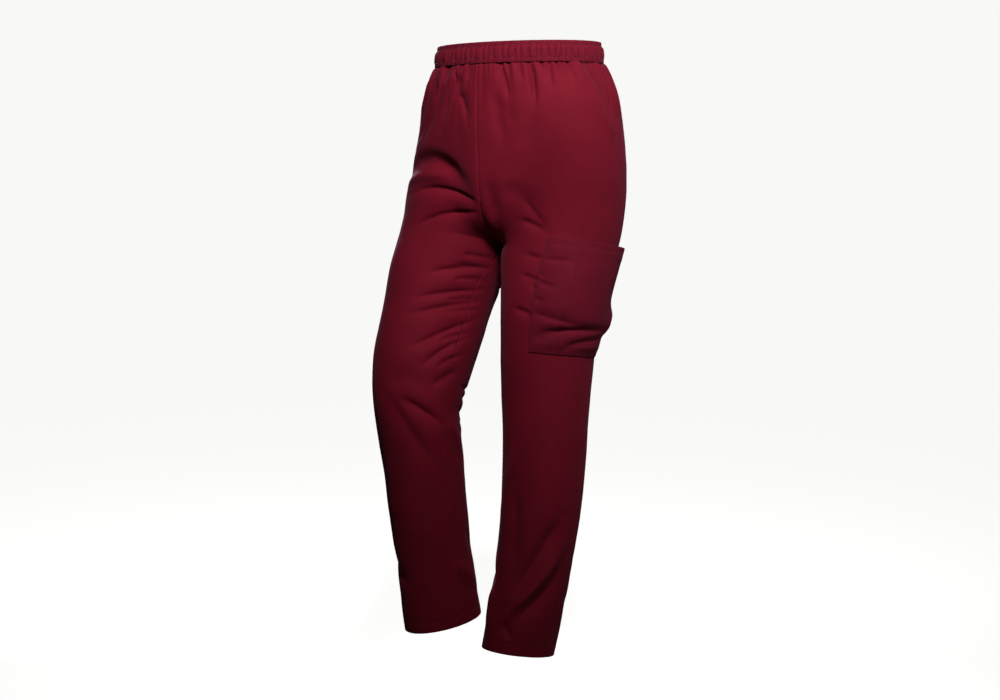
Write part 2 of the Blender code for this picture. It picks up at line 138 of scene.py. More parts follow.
SEAT = rows_of(
    SeatRow,
    (0, 149, 116, 117, -1), (25, 164, 121, 124, 0), (60, 176, 124, 131, 2), (110, 182, 127, 137, 4),
    (160, 188, 129, 142, 6), (220, 200, 134, 147, 6), (310, 196, 142, 147, 4),
)
LEFT_LEG = rows_of(
    LegRow,
    (300, 0, 0, 0, 81, 94, 92, 2, 0, 0), (360, 77, -4, -378, 82, 92, 92, 2, 2, 0),
    (450, 73, -20, -468, 76, 86, 85, 4, 4, 0), (540, 73, -28, -558, 70, 79, 79, 5, 4, 0),
    (640, 74, -34, -658, 66, 76, 76, 5, 4, 0), (740, 71, -41, -757, 62, 73, 73, 5, 5, 0),
    (850, 60, -51, -866, 58, 71, 71, 5, 6, 0), (968, 45, -68, -982, 55, 70, 70, 6, 6, 0),
)
RIGHT_LEG = rows_of(
    LegRow,
    (300, 0, 0, 0, 112, 150, 84, 12, 0, 6), (365, -117, -40, -378, 89, 108, 88, 18, 0, 12),
    (440, -121, -73, -446, 82, 92, 88, 20, 0, 16), (520, -124, -106, -522, 77, 86, 86, 14, 0, 16),
    (585, -123, -119, -584, 69, 77, 77, 2, 0, 16), (660, -120, -109, -660, 62, 71, 71, -8, 0, 16),
    (760, -121, -92, -760, 59, 69, 69, -11, 0, 16), (860, -119, -73, -860, 56, 68, 68, -11, 0, 16),
    (952, -116, -57, -949, 56, 70, 70, -12, 0, 16),
)
GIRTH = rows_of(GirthRow, (0, 210), (110, 250), (300, 272), (600, 236), (968, 196))

LEFT_CREASES = rows_of(
    Crease,
    (0, 0.59, 34, 0.61, 76, 0.62, 7.5, 4, 0.2, 1.3), (0, 0.83, 33, 0.80, 66, 0.79, 6.5, 4.5, 0.4, 1.3),
    (0, 0.695, 16, 0.69, 34, 0.69, 5.0, 3.5, 0.0, 1.3), (60, 0.64, 100, 0.66, 150, 0.70, 1.6, 12),
    (44, 0.87, 88, 0.86, 132, 0.84, 4.4, 10), (6, 0.11, 46, 0.04, 100, -0.04, 5.0, 6, 0.2, 1.4),
    (6, 0.02, 55, -0.08, 96, -0.17, -4.5, 6, 0.4, 1.4), (8, -0.08, 50, -0.17, 88, -0.25, 4.5, 6, 0.2, 1.4),
    (2, 0.34, 30, 0.35, 62, 0.37, 3.5, 5, 0.0, 1.4), (2, 0.47, 24, 0.48, 50, 0.50, 4.2, 4, 0.0, 1.4),
    (66, 0.81, 86, 0.79, 108, 0.77, 1.6, 8), (232, 0.86, 214, 0.74, 268, 0.50, 2.6, 15, 0.0, 1.8),
    (222, 0.70, 246, 0.58, 281, 0.40, 2.6, 6, 0.3, 1.4), (258, 0.69, 266, 0.57, 281, 0.43, 5.2, 5, 0.3, 1.3),
    (190, 0.93, 225, 0.92, 262, 0.88, 4.2, 13), (204, 0.93, 262, 0.87, 321, 0.79, 2.4, 14),
    (206, 0.18, 226, 0.26, 250, 0.36, 1.2, 15, 0.0, 1.8), (314, 0.56, 318, 0.49, 321, 0.41, 4.9, 4.5, 0.3, 1.4),
    (347, 0.55, 352, 0.47, 357, 0.40, 4.5, 4, 0.3, 1.4), (360, 0.47, 365, 0.44, 370, 0.40, 2.8, 3.5, 0.2, 1.4),
    (403, 0.56, 407, 0.49, 412, 0.41, 5.2, 5, 0.3, 1.4), (620, 0.53, 660, 0.58, 700, 0.63, -3.1, 5, 0.3, 1.4),
    (690, 0.52, 765, 0.49, 838, 0.46, 5.2, 13, 0.0, 1.8), (723, 0.36, 753, 0.38, 783, 0.40, -1.5, 9),
    (736, 0.10, 800, 0.25, 888, 0.44, 9.0, 13, 0.0, 1.8), (786, 0.06, 850, 0.24, 912, 0.46, -7.5, 10, 0.2, 1.7),
    (798, 0.02, 862, 0.16, 922, 0.42, 5.5, 11, -0.2, 1.6), (862, 0.66, 900, 0.66, 946, 0.60, -5.5, 16),
    (800, 0.96, 840, 0.80, 862, 0.62, 3.4, 12, 0.0, 1.7), (914, 0.47, 930, 0.41, 942, 0.36, 3.5, 6, 0.0, 1.5),
    (864, 0.62, 848, 0.57, 831, 0.52, 1.6, 11), (318, -0.82, 338, -0.55, 322, -0.28, 4.0, 14, 0.2, 1.7),
    (344, -0.88, 358, -0.70, 352, -0.50, 2.7, 8, 0.2, 1.6), (376, -0.92, 360, -0.72, 372, -0.45, 3.0, 13),
    (250, -0.30, 276, -0.44, 300, -0.62, 1.8, 10, 0.2, 1.7),
    (560, -0.35, 578, -0.60, 558, -0.88, 4.0, 13, 0.2, 1.7),
    (586, -0.48, 596, -0.66, 588, -0.84, 2.4, 7, 0.2, 1.5),
    (612, -0.32, 624, -0.58, 604, -0.85, 3.5, 13, 0.2, 1.7),
    (540, -0.52, 548, -0.70, 538, -0.86, 2.2, 7, 0.2, 1.5), (700, -0.30, 745, -0.42, 790, -0.50, 2.2, 13),
    (806, -0.22, 858, -0.48, 888, -0.78, 4.0, 13, 0.1, 1.7),
    (868, -0.14, 904, -0.38, 926, -0.62, 3.5, 12, 0.1, 1.7), (2, 0.46, 16, 0.49, 34, 0.53, 4.0, 3.5, 0.0, 1.3),
    (2, 0.37, 14, 0.34, 30, 0.31, 3.6, 3.5, 0.0, 1.3),
)
RIGHT_CREASES = rows_of(
    Crease,
    (2, 0.625, 56, 0.64, 138, 0.38, -8.0, 7, -0.5, 1.3), (20, 0.58, 66, 0.57, 136, 0.33, 9.0, 10, 0.3, 1.6),
    (6, 0.90, 36, 0.83, 104, 0.735, -8.0, 6.5, -0.5, 1.3), (16, 0.84, 48, 0.78, 108, 0.69, 8.0, 9, 0.3, 1.6),
    (54, 0.85, 66, 0.89, 106, 0.93, 5.5, 6, 0.3, 1.4), (8, 0.50, 50, 0.45, 106, 0.28, -6.0, 7, -0.4, 1.5),
    (14, 0.43, 56, 0.36, 110, 0.20, 7.5, 9, 0.2, 1.6), (60, 0.93, 100, 0.86, 150, 0.84, 2.2, 12, 0.0, 1.7),
    (206, 0.22, 164, 0.60, 222, 0.96, 10.5, 17, -0.1), (214, 0.24, 194, 0.56, 182, 0.84, -3.0, 9),
    (236, 0.36, 214, 0.70, 236, 0.97, 3.6, 12), (232, 0.42, 214, 0.72, 234, 1.04, 5.4, 3.8, -0.35, 1.3),
    (318, 0.40, 264, 0.65, 244, 0.97, 3.4, 13), (316, 0.44, 264, 0.66, 244, 1.05, 5.7, 3.8, -0.35, 1.3),
    (333, 0.84, 329, 0.88, 324, 1.01, 3.1, 3.4, -0.2, 1.4),
    (350, 0.83, 346, 0.89, 340, 1.02, 2.6, 3.4, -0.2, 1.4), (378, 0.66, 358, 0.83, 338, 0.95, 2.4, 10),
    (376, 0.70, 357, 0.83, 338, 1.02, 4.3, 3.4, -0.35, 1.3),
    (376, 0.86, 368, 0.90, 357, 1.04, 3.4, 3.4, -0.3, 1.4), (426, 0.60, 400, 0.83, 372, 0.99, 3.0, 11),
    (422, 0.66, 400, 0.83, 372, 1.06, 5.0, 3.4, -0.35, 1.3),
    (412, 0.86, 404, 0.91, 388, 1.06, 3.4, 3.4, -0.3, 1.4), (456, 0.56, 424, 0.84, 392, 1.00, 3.0, 11),
    (452, 0.64, 424, 0.84, 392, 1.07, 5.4, 3.4, -0.35, 1.3),
    (436, 0.86, 424, 0.92, 408, 1.07, 3.9, 3.4, -0.3, 1.4), (504, 0.62, 468, 0.86, 424, 1.00, 3.2, 12),
    (500, 0.70, 468, 0.86, 424, 1.07, 5.4, 3.8, -0.35, 1.3),
    (480, 0.88, 468, 0.93, 448, 1.07, 3.9, 3.4, -0.3, 1.4), (530, 0.74, 494, 0.90, 455, 1.00, 2.6, 9),
    (526, 0.80, 494, 0.90, 455, 1.07, 4.6, 3.4, -0.35, 1.3),
    (520, 0.91, 506, 0.95, 487, 1.07, 3.9, 3.4, -0.3, 1.4), (550, 0.88, 534, 0.97, 515, 1.06, 4.6, 7, 0.0, 1.5),
    (549, 0.54, 541, 0.73, 546, 0.90, 3.0, 16), (570, 0.66, 584, 0.83, 612, 1.04, 3.4, 11, -0.2, 1.7),
    (572, 0.70, 584, 0.83, 612, 1.02, 3.5, 4.5, -0.3, 1.3),
    (566, 0.56, 614, 0.74, 682, 0.92, 3.6, 12, -0.2, 1.7), (596, -0.98, 630, -0.88, 668, -0.78, -4.5, 12),
    (580, -0.30, 598, -0.58, 584, -0.86, 5.0, 12, 0.2, 1.6),
    (606, -0.44, 618, -0.60, 610, -0.76, 4.2, 5, 0.2, 1.4),
    (632, -0.26, 648, -0.52, 632, -0.74, 4.2, 12, 0.2, 1.6),
    (556, -0.46, 566, -0.64, 556, -0.82, 3.2, 6, 0.2, 1.4),
    (540, -0.50, 546, -0.68, 540, -0.88, 3.1, 5, 0.2, 1.4), (794, -0.80, 820, -0.74, 848, -0.66, 5.0, 13),
    (838, -1.02, 866, -0.90, 896, -0.76, -5.0, 13), (786, 0.10, 838, 0.34, 880, 0.66, 3.4, 13, 0.1, 1.8),
    (316, -0.84, 336, -0.56, 318, -0.26, 4.5, 13, 0.2, 1.6),
    (322, -0.80, 338, -0.58, 324, -0.34, 4.2, 4.5, 0.2, 1.3),
    (346, -0.86, 360, -0.66, 352, -0.46, 3.2, 6, 0.2, 1.4),
    (204, 0.08, 222, -0.20, 258, -0.48, 4.0, 15, 0.1, 1.8),
    (240, 0.04, 262, -0.16, 290, -0.34, 3.2, 7, 0.1, 1.4), (690, -0.30, 730, -0.40, 772, -0.52, 2.2, 13),
    (862, -0.20, 892, -0.44, 914, -0.66, 3.5, 12, 0.1, 1.7), (0, 0.69, 15, 0.70, 32, 0.72, 5.0, 3.5, 0.0, 1.3),
    (0, 0.78, 16, 0.80, 34, 0.83, 5.0, 3.5, 0.0, 1.3), (0, 0.95, 16, 0.935, 36, 0.92, 4.5, 3.5, 0.0, 1.3),
)
POCKET_CREASES = rows_of(
    Crease,
    (456, 0.40, 432, 0.22, 424, -0.20, 5.1, 8, 0.2, 1.5),
    (452, 0.36, 433, 0.22, 427, -0.10, 3.5, 3.5, -0.3, 1.3),
    (466, 0.20, 448, 0.08, 436, -0.22, 4.9, 7, 0.2, 1.5), (406, 0.43, 414, 0.30, 422, 0.08, 4.1, 6, -0.3, 1.4),
    (321, 0.42, 321, 0.34, 320, 0.24, 3.1, 4, 0.0, 1.4), (357, 0.42, 360, 0.37, 364, 0.30, 3.1, 4, 0.0, 1.4),
    (345, 0.42, 347, 0.39, 348, 0.36, 2.1, 3, 0.0, 1.4), (384, 0.42, 386, 0.39, 389, 0.35, 2.4, 3.5, 0.0, 1.4),
    (306, 0.235, 390, 0.235, 448, 0.262, -2.4, 6, 0.55, 1.2), (330, -0.05, 380, -0.07, 425, -0.12, 1.6, 14),
    (430, -0.26, 411, -0.18, 370, -0.25, -9.5, 13, 0.0, 1.9),
)

BAND = rows_of(
    BandRow,
    (-18.0, -1.0, 0.10), (-17.4, -0.3, 0.18), (-15.8, 0.0, 0.22), (-13.0, 0.0, 0.24), (-11.6, -0.2, 0.26),
    (-10.7, -0.7, 0.34), (-9.8, -1.1, 0.60), (-8.0, -2.0, 0.92), (-4.0, -2.3, 1.00), (1.0, -2.7, 1.00),
    (5.0, -3.2, 0.95), (7.4, -3.7, 0.80), (8.8, -4.0, 0.55), (9.5, -4.4, 0.34), (10.4, -4.5, 0.34),
    (13.0, -4.8, 0.40), (15.8, -5.3, 0.50), (17.0, -5.8, 0.50), (17.3, -6.4, 0.45), (16.8, -7.1, 0.40),
    (14.5, -7.4, 0.30), (9.4, -7.4, 0.10), (5.0, -6.6, 0.20), (-2.0, -5.8, 0.25), (-9.0, -5.2, 0.12),
    (-16.0, -3.8, 0.05), (-18.0, -2.8, 0.05),
)


def smooth(value: Array) -> Array:
    """A soft step, 0 below 0 and 1 above 1."""
    held = np.clip(value, 0, 1)
    return held * held * (3 - 2 * held)


def bell(distance: Array, width: float | Array = 1.0) -> Array:
    """A soft hump, 1 at no distance and about a third at one width."""
    return np.exp(-((distance / width) ** 2))


def stack(x: Array, y: Array, z: Array) -> Array:
    """Three coordinates joined as points."""
    return np.stack(np.broadcast_arrays(x, y, z), -1)


def unit_of(vectors: Array) -> Array:
    """The vectors at length 1."""
    return vectors / np.maximum(np.linalg.norm(vectors, axis=-1, keepdims=True), 1e-9)


def wander(i: int, seed: float) -> float:
    """A fixed uneven number from -1 to 1 for the i-th gather or pleat.

    Args:
        i: Which gather or pleat.
        seed: Tells one set of numbers from another.

    Returns:
        The number. The rates have no common period, so it never repeats.
    """
    step, seed_rate, slow = 12.9898, 78.233, 4.1414
    return math.sin(step * i + seed_rate * seed) * math.cos(slow * i + seed)


@dataclass(frozen=True)
class Table:
    """A short table whose named columns are read as smooth curves down the cloth."""

    rows: tuple

    def column(self, name: str) -> Array:
        """One column's values."""
        return np.array([getattr(row, name) for row in self.rows], float)

    def read(self, values: Array, down: Array) -> Array:
        """Reads any values that go with the rows, on a curve that runs straight on past both ends.

        Args:
            values: One value for each row.
            down: Where to read, in millimetres down the cloth.

        Returns:
            The values there, in the shape of down.
        """
        places = self.column("down")
        slopes = np.gradient(values, places)
        i = np.clip(np.searchsorted(places, down, side="right") - 1, 0, len(places) - 2)
        step = places[i + 1] - places[i]
        u = (down - places[i]) / step
        v = np.clip(u, 0, 1)
        start = (2 * v**3 - 3 * v**2 + 1) * values[i] + (v**3 - 2 * v**2 + v) * step * slopes[i]
        end = (3 * v**2 - 2 * v**3) * values[i + 1] + (v**3 - v**2) * step * slopes[i + 1]
        return start + end + (u - v) * step * np.where(u < 0, slopes[i], slopes[i + 1])

    def at(self, name: str, down: Array) -> Array:
        """One named column, read at each distance down."""
        return self.read(self.column(name), down)


SEAT_TABLE = Table(SEAT)
GIRTH_TABLE = Table(GIRTH)


@dataclass(frozen=True)
class HalfForm:
    """The plain form of one half of the trousers: half of the seat's oval, which turns into a leg's tube."""

    side: Side
    leg: Table
    waist_seam_z: float = -18.0
    waist_tilt: float = 0.017
    tilt_fade: float = 250.0
    fork_down: float = 300.0
    fork_y: float = 18.0
    split_start: float = 60.0
    seam_power: float = 5.0
    split_power: int = 3
    pull_power: int = 2
    keep_power: int = 6
    leg_reach: float = 30.0
    # Worn cloth stands a little forward of the solid here, between the thighs.
    fork_push: tuple[float, float] = (-10.0, -34.0)
    fork_push_reach: float = 60.0
    fork_push_t: float = 0.52
    ease_step: float = 11.0
    ease_full_down: float = 120.0
    ease_weights: tuple[int, ...] = (1, 2, 3, 4, 5, 6, 5, 4, 3, 2, 1)
    normal_down: float = 2.0
    normal_t: float = 0.006
    normal_most_t: float = 0.992

    def leg_axes(self, down: Array) -> tuple[Array, Array]:
        """The directions across the leg's section, outwards and to the front.

        Args:
            down: Distance below the waist seam.

        Returns:
            Two unit vectors at each place.
        """
        tilt, roll, yaw = (np.radians(self.leg.at(name, down)) for name in ("tilt", "roll", "yaw"))
        side = self.side.value
        across = stack(side * np.cos(yaw) * np.cos(roll), np.sin(yaw) * np.cos(roll), -np.sin(roll))
        front = stack(side * np.sin(yaw) * np.cos(tilt), -np.cos(yaw) * np.cos(tilt), np.sin(tilt))
        return across, front

    def leg_centres(self) -> Array:
        """The centre of each section. The first stands one half-width outside the fork.

        Returns:
            The centres, one to a row of the leg's table.
        """
        across = self.leg_axes(np.float64(self.fork_down))[0]
        fork = np.array([SEAT_TABLE.at("sway", self.fork_down), self.fork_y, self.waist_seam_z - self.fork_down])
        first = fork + across * self.leg.rows[0].half_width
        return np.array([first] + [(row.x, row.y, row.z) for row in self.leg.rows[1:]])

    def leg_tube(self, down: Array, t: Array) -> Array:
        """Places on the leg's own tube, an oval round each section's centre.

        Args:
            down: Distance below the waist seam.
            t: Place across the half.

        Returns:
            Points in millimetres.
        """
        across, front = self.leg_axes(down)
        centres = self.leg_centres()
        centre = np.stack([self.leg.read(centres[:, i], down) for i in range(3)], -1)
        depth = np.where(t > 0, self.leg.at("front", down), self.leg.at("back", down))
        wide = self.leg.at("half_width", down) * np.cos(math.pi * t)
        return centre + across * wide[..., None] + front * (depth * np.sin(math.pi * t))[..., None]

    def seat_arc(self, down: Array, t: Array) -> Array:
        """Places on this half of the seat's oval, from centre back to centre front.

        Args:
            down: Distance below the waist seam.
            t: Place across the half.

        Returns:
            Points in millimetres.
        """
        angle = t * math.pi / 2
        wide = self.side.value * SEAT_TABLE.at("half_width", down)
        depth = np.where(t > 0, SEAT_TABLE.at("front", down), SEAT_TABLE.at("back", down))
        x = SEAT_TABLE.at("sway", down) + wide * np.cos(angle)
        return stack(x, -depth * np.sin(angle), self.waist_seam_z - down)

    def inner_share(self, t: Array, power: int) -> Array:
        """1 at the centre seams and the inseam, falling to 0 at the side seam."""
        return ((1 - np.cos(math.pi * t)) / 2) ** power

    def raw_point(self, down: Array, t: Array) -> Array:
        """The surface before its change from seat to leg is eased.

        Args:
            down: Distance below the waist seam.
            t: Place across the half.

        Returns:
            Points in millimetres.
        """
        fork = self.fork_down
        above = np.minimum(down, fork)
        eased = fork - self.leg_reach * (1 - np.exp(-(fork - above) / self.leg_reach))
        section = np.where(down > fork, down, eased)
        lift = stack(0 * above, 0 * above, np.where(down > fork, 0, section - above))
        seam = stack(SEAT_TABLE.at("sway", above), self.fork_y, self.waist_seam_z - above)
        astray = self.leg_tube(section, np.ones_like(down)) + lift - seam
        pull = np.where(down > fork, 0, self.inner_share(t, self.pull_power))
        leg = self.leg_tube(section, t) + lift - pull[..., None] * astray
        u = np.clip((above - self.split_start) / (fork - self.split_start), 0, 1)
        at_seam = self.inner_share(t, self.split_power)
        share = ((1 - at_seam) * u * u * (3 - 2 * u) + at_seam * u**self.seam_power)[..., None]
        point = (1 - share) * self.seat_arc(above, t) + share * leg
        point[..., 2] += point[..., 0] * self.waist_tilt * np.clip(1 - down / self.tilt_fade, 0, 1)
        return point

    def point(self, down: Array, t: Array) -> Array:
        """The surface without folds.

        Args:
            down: Distance below the waist seam, along the leg.
            t: Place across the half. It broadcasts with down.

        Returns:
            Points in millimetres, with a last axis of 3.
        """
        middle = len(self.ease_weights) // 2
        step = self.ease_step * np.clip(down / self.ease_full_down, 0, 1)
        soft = sum(w * self.raw_point(down + (i - middle) * step, t) for i, w in enumerate(self.ease_weights))
        keep = self.inner_share(t, self.keep_power)[..., None]
        eased = keep * self.raw_point(down, t) + (1 - keep) * soft / sum(self.ease_weights)
        near = bell(down - self.fork_down, self.fork_push_reach)
        near = near * smooth((np.abs(t) - self.fork_push_t) / (1 - self.fork_push_t))
        return eased + near[..., None] * np.array((*self.fork_push, 0.0))

    def normal(self, down: Array, t: Array) -> Array:
        """The plain surface's unit normal, away from the hollow.

        Args:
            down: Distance below the waist seam.
            t: Place across the half.

        Returns:
            Unit vectors.
        """
        held = np.clip(t, -self.normal_most_t, self.normal_most_t)
        t = np.where(down < self.fork_down, held, t)
        along = self.point(down + self.normal_down, t) - self.point(down - self.normal_down, t)
        across = self.point(down, t + self.normal_t) - self.point(down, t - self.normal_t)
        return unit_of(self.side.value * np.cross(across, along))


FORMS = {Side.LEFT: HalfForm(Side.LEFT, Table(LEFT_LEG)), Side.RIGHT: HalfForm(Side.RIGHT, Table(RIGHT_LEG))}


@dataclass(frozen=True)
class Creasing:
    """The troughs and ridges placed on one stretch of cloth."""

    creases: tuple[Crease, ...]
    steps: int = 12
    end_fade: float = 0.34
    end_share: float = 0.2
    reach: float = 3.2

    def path(self, crease: Crease) -> Array:
        """The crease's line, as places on a curve through its three.

        Args:
            crease: The trough or ridge.

        Returns:
            Places as rows of down and t.
        """
        u = np.linspace(0, 1, self.steps)[:, None]
        a, b, c = np.array(crease[:6]).reshape(3, 2)
        return (1 - u) * (1 - 2 * u) * a + 4 * u * (1 - u) * b + u * (2 * u - 1) * c

    def one(self, crease: Crease, down: Array, t: Array) -> Array:
        """How far one crease moves the cloth outwards at each place.

        Args:
            crease: The trough or ridge.
            down: Distance below the waist seam.
            t: Place across the half.

        Returns:
            Millimetres, in the shape of down.
        """
        unit = float(GIRTH_TABLE.at("unit", crease.down_b))
        path = self.path(crease)
        nearest, place = np.full(down.shape, np.inf), np.zeros(down.shape)
        beside = np.zeros(down.shape)
        for i in range(self.steps - 1):
            run = (path[i + 1] - path[i]) * (1, unit)
            from_down = down - path[i][0]
            from_t = ((t - path[i][1] + 1) % 2 - 1) * unit
            share = np.clip((from_down * run[0] + from_t * run[1]) / (run @ run), 0, 1)
            apart = np.hypot(from_down - share * run[0], from_t - share * run[1])
            closer = apart < nearest
            nearest = np.where(closer, apart, nearest)
            place = np.where(closer, (i + share) / (self.steps - 1), place)
            beside = np.where(closer, run[0] * from_t - run[1] * from_down, beside)
        flank = crease.width * (1 + crease.lean * np.sign(beside))
        ends = smooth(np.minimum(place, 1 - place) / self.end_fade)
        swell = self.end_share + (1 - self.end_share) * ends
        return -crease.depth * np.exp(-((nearest / flank) ** crease.bite)) * swell

    def lift(self, down: Array, t: Array) -> Array:
        """How far all the creases together move the cloth outwards.

        Args:
            down: Distance below the waist seam, for each place.
            t: Place across the half, in the same shape.

        Returns:
            Millimetres, in the same shape.
        """
        total = np.zeros(down.shape)
        for crease in self.creases:
            margin = self.reach * crease.width
            downs = (crease.down_a, crease.down_b, crease.down_c)
            near = (down > min(downs) - margin) & (down < max(downs) + margin)
            if near.any():
                total[near] += self.one(crease, down[near], t[near])
        return total


@dataclass(frozen=True)
class Gathers:
    """The fullness taken in by the waistband: a puff under the seam, long troughs, and short tucks."""

    side: Side
    seam_down: float = 4.0
    puff: float = 1.3
    puff_rise: float = 2.2
    depth: float = 3.8
    width: float = 5.0
    shortest: float = 22.0
    spread: float = 46.0
    stray: float = 0.25
    front: tuple[float, float, int] = (0.30, 0.97, 7)
    back: tuple[float, float, int] = (-0.97, -0.10, 8)
    seeds: tuple[int, int, int] = (1, 2, 7)
    tuck_depth: float = 4.2
    tuck_width: float = 2.3
    tuck_length: float = 23.0
    tuck_least: float = 0.35
    tuck_seeds: tuple[float, float] = (3.7, 8.3)
    tuck_narrowing: float = 0.5
    tuck_bite: float = 1.5
    reach: float = 200.0

    def troughs(self, down: Array, t: Array) -> Array:
        """The long troughs, deepest at the seam, spread over a stretch of t in each panel.

        Args:
            down: Distance below the waist seam.
            t: Place across the half.

        Returns:
            Millimetres, in the shape of down.
        """
        total = np.zeros(down.shape)
        front_seed, back_seed, length_seed = self.seeds
        for seed, (first, last, count) in ((front_seed, self.front), (back_seed, self.back)):
            pitch = (last - first) / (count - 1)
            for i in range(count):
                chosen = seed + self.side.value
                middle = first + pitch * (i + self.stray * wander(i, chosen))
                length = self.shortest + self.spread * abs(wander(i + length_seed, chosen))
                apart = (t - middle) * GIRTH[0].unit / self.width
                total -= self.depth * bell(apart) * bell(down, length)
        return total

    def tucks(self, down: Array, t: Array) -> Array:
        """The short tucks that run on from the waistband's pleats, narrowing as they go down.

        Args:
            down: Distance below the waist seam.
            t: Place across the half.

        Returns:
            Millimetres, in the shape of down.
        """
        total = np.zeros(down.shape)
        size_seed, length_seed = self.tuck_seeds
        for i, angle in enumerate(PLEATS.starts()):
            turn = -angle if self.side is Side.LEFT else angle - math.pi
            middle = ((turn + math.pi) % (2 * math.pi) - math.pi) * 2 / math.pi
            if abs(middle) > 1:
                continue
            size = self.tuck_least + (1 - self.tuck_least) * abs(wander(i, size_seed))
            length = self.tuck_length * (self.tuck_least + abs(wander(i, length_seed)))
            width = self.tuck_width * (1 - self.tuck_narrowing * np.clip(down / length, 0, 1))
            apart = np.abs((t - middle) * GIRTH[0].unit / width)
            total -= self.tuck_depth * size * np.exp(-(apart**self.tuck_bite)) * bell(down, length)
        return total

    def lift(self, down: Array, t: Array) -> Array:
        """The puff, the troughs and the tucks together, in millimetres outwards.

        Args:
            down: Distance below the waist seam.
            t: Place across the half.

        Returns:
            Millimetres, in the shape of down.
        """
        total = np.zeros(down.shape)
        near = down < self.reach
        if near.any():
            d, s = np.maximum(down[near] - self.seam_down, 0), t[near]
            puff = self.puff * np.clip(d / self.puff_rise, 0, 1) * np.exp(-d / self.spread)
            total[near] = puff + self.troughs(d, s) + self.tucks(d, s)
        return total


@dataclass(frozen=True)
class Crumple:
    """The faint uneven waviness of worn cloth, soft noise on two scales."""

    seed: int
    scales: tuple[tuple[float, float, float], ...] = ((46.0, 74.0, 0.65), (19.0, 31.0, 0.22))
    size: int = 64
    inner_fade_t: float = 0.08
    outer_fade_t: float = 0.05
    top_fade: float = 40.0

    def layer(self, down: Array, across: Array, long: float, wide: float, seed: int) -> Array:
        """One scale of soft noise from a seeded lattice.

        Args:
            down: Millimetres down the cloth.
            across: Millimetres across it.
            long: The lattice's step down.
            wide: Its step across.
            seed: Seeds the lattice.

        Returns:
            Noise from about -1 to 1.
        """
        lattice = np.random.default_rng(seed).uniform(-1, 1, (self.size, self.size))
        y, x = down / long, across / wide
        i, j = np.floor(y).astype(int), np.floor(x).astype(int)
        v, u = smooth(y - i), smooth(x - j)
        i, j = i % self.size, j % self.size
        i_next, j_next = (i + 1) % self.size, (j + 1) % self.size
        upper = lattice[i, j] * (1 - u) + lattice[i, j_next] * u
        lower = lattice[i_next, j] * (1 - u) + lattice[i_next, j_next] * u
        return upper * (1 - v) + lower * v

    def lift(self, down: Array, t: Array) -> Array:
        """The waviness in millimetres, gone at the seams, where the pieces meet.

        Args:
            down: Distance below the waist seam.
            t: Place across the half.

        Returns:
            Millimetres, in the shape of down.
        """
        across = t * GIRTH[2].unit
        waves = sum(
            height * self.layer(down, across, long, wide, self.seed + i)
            for i, (long, wide, height) in enumerate(self.scales)
        )
        at_seam = smooth((1 - np.abs(t)) / self.inner_fade_t) * smooth(np.abs(t) / self.outer_fade_t)
        return waves * at_seam * smooth(down / self.top_fade)


@dataclass(frozen=True)
class HalfCloth:
    """One half's cloth with all its folds. Places on it are what every piece and stitch is made from."""

    side: Side
    creasing: Creasing
    crumple: Crumple
    seam_gap: float = 0.02
    seam_fade_t: float = 0.07
    join_t: float = 0.984
    join_fade: float = 8.0

    @property
    def form(self) -> HalfForm:
        """The plain form under the folds."""
        return FORMS[self.side]

    def relief(self, down: Array, t: Array) -> Array:
        """All folds at each place. They fade out beside the centre seams, which both halves share.

        Args:
            down: Distance below the waist seam.
            t: Place across the half.

        Returns:
            Millimetres outwards.
        """
        down, t = np.broadcast_arrays(down, t)
        gathers = Gathers(self.side)
        fade = smooth((1 - np.abs(t)) / self.seam_fade_t)
        total = self.creasing.lift(down, t) + gathers.lift(down, t) + self.crumple.lift(down, t) * fade
        below = np.clip((down - self.form.fork_down) / self.form.leg_reach, 0, 1)
        return total * (fade + (1 - fade) * below)

    def middle_x(self, down: Array) -> Array:
        """The x that parts the two halves, at the centre seams and on down between the thighs."""
        ones = np.ones_like(down)
        return (FORMS[Side.LEFT].point(down, ones) + FORMS[Side.RIGHT].point(down, ones))[..., 0] / 2

    def place(self, down: Array, t: Array, out: Array | float = 0.0) -> Array:
        """Places on the folded cloth, moved out along its normal.

        Args:
            down: Distance below the waist seam.
            t: Place across the half.
            out: Millimetres out from the cloth's outer face.

        Returns:
            Points in millimetres, kept on this half's own side of the middle.
        """
        points = self.form.point(down, t)
        moved = self.relief(down, t) + out
        points = points + self.form.normal(down, t) * moved[..., None]
        side = self.side.value
        spare = side * (points[..., 0] - self.middle_x(down)) - self.seam_gap / 2
        joined = smooth((np.abs(t) - self.join_t) / (1 - self.join_t))
        joined = joined * np.clip((self.form.fork_down - down) / self.join_fade, 0, 1)
        points[..., 0] -= side * np.where(spare > 0, spare * joined, spare)
        return points


CLOTHS = {
    Side.LEFT: HalfCloth(Side.LEFT, Creasing(LEFT_CREASES), Crumple(11)),
    Side.RIGHT: HalfCloth(Side.RIGHT, Creasing(RIGHT_CREASES), Crumple(29)),
}


@dataclass(frozen=True)
class PleatRing:
    """The pleats that elastic makes all round the waistband."""

    count: int = 78
    jitter: float = 0.42
    lean: float = 0.55
    lift: float = 4.2
    width_seed: int = 5
    lean_seed: int = 9

    def edges(self) -> Array:
        """The angle of each pleat's edge, with the full turn as the last."""
        widths = np.array([1 + self.jitter * wander(i, self.width_seed) for i in range(self.count)])
        return 2 * math.pi * np.concatenate([[0], np.cumsum(widths)]) / widths.sum()

    def starts(self) -> Array:
        """The angle at which each pleat starts."""
        return self.edges()[:-1]


PLEATS = PleatRing()


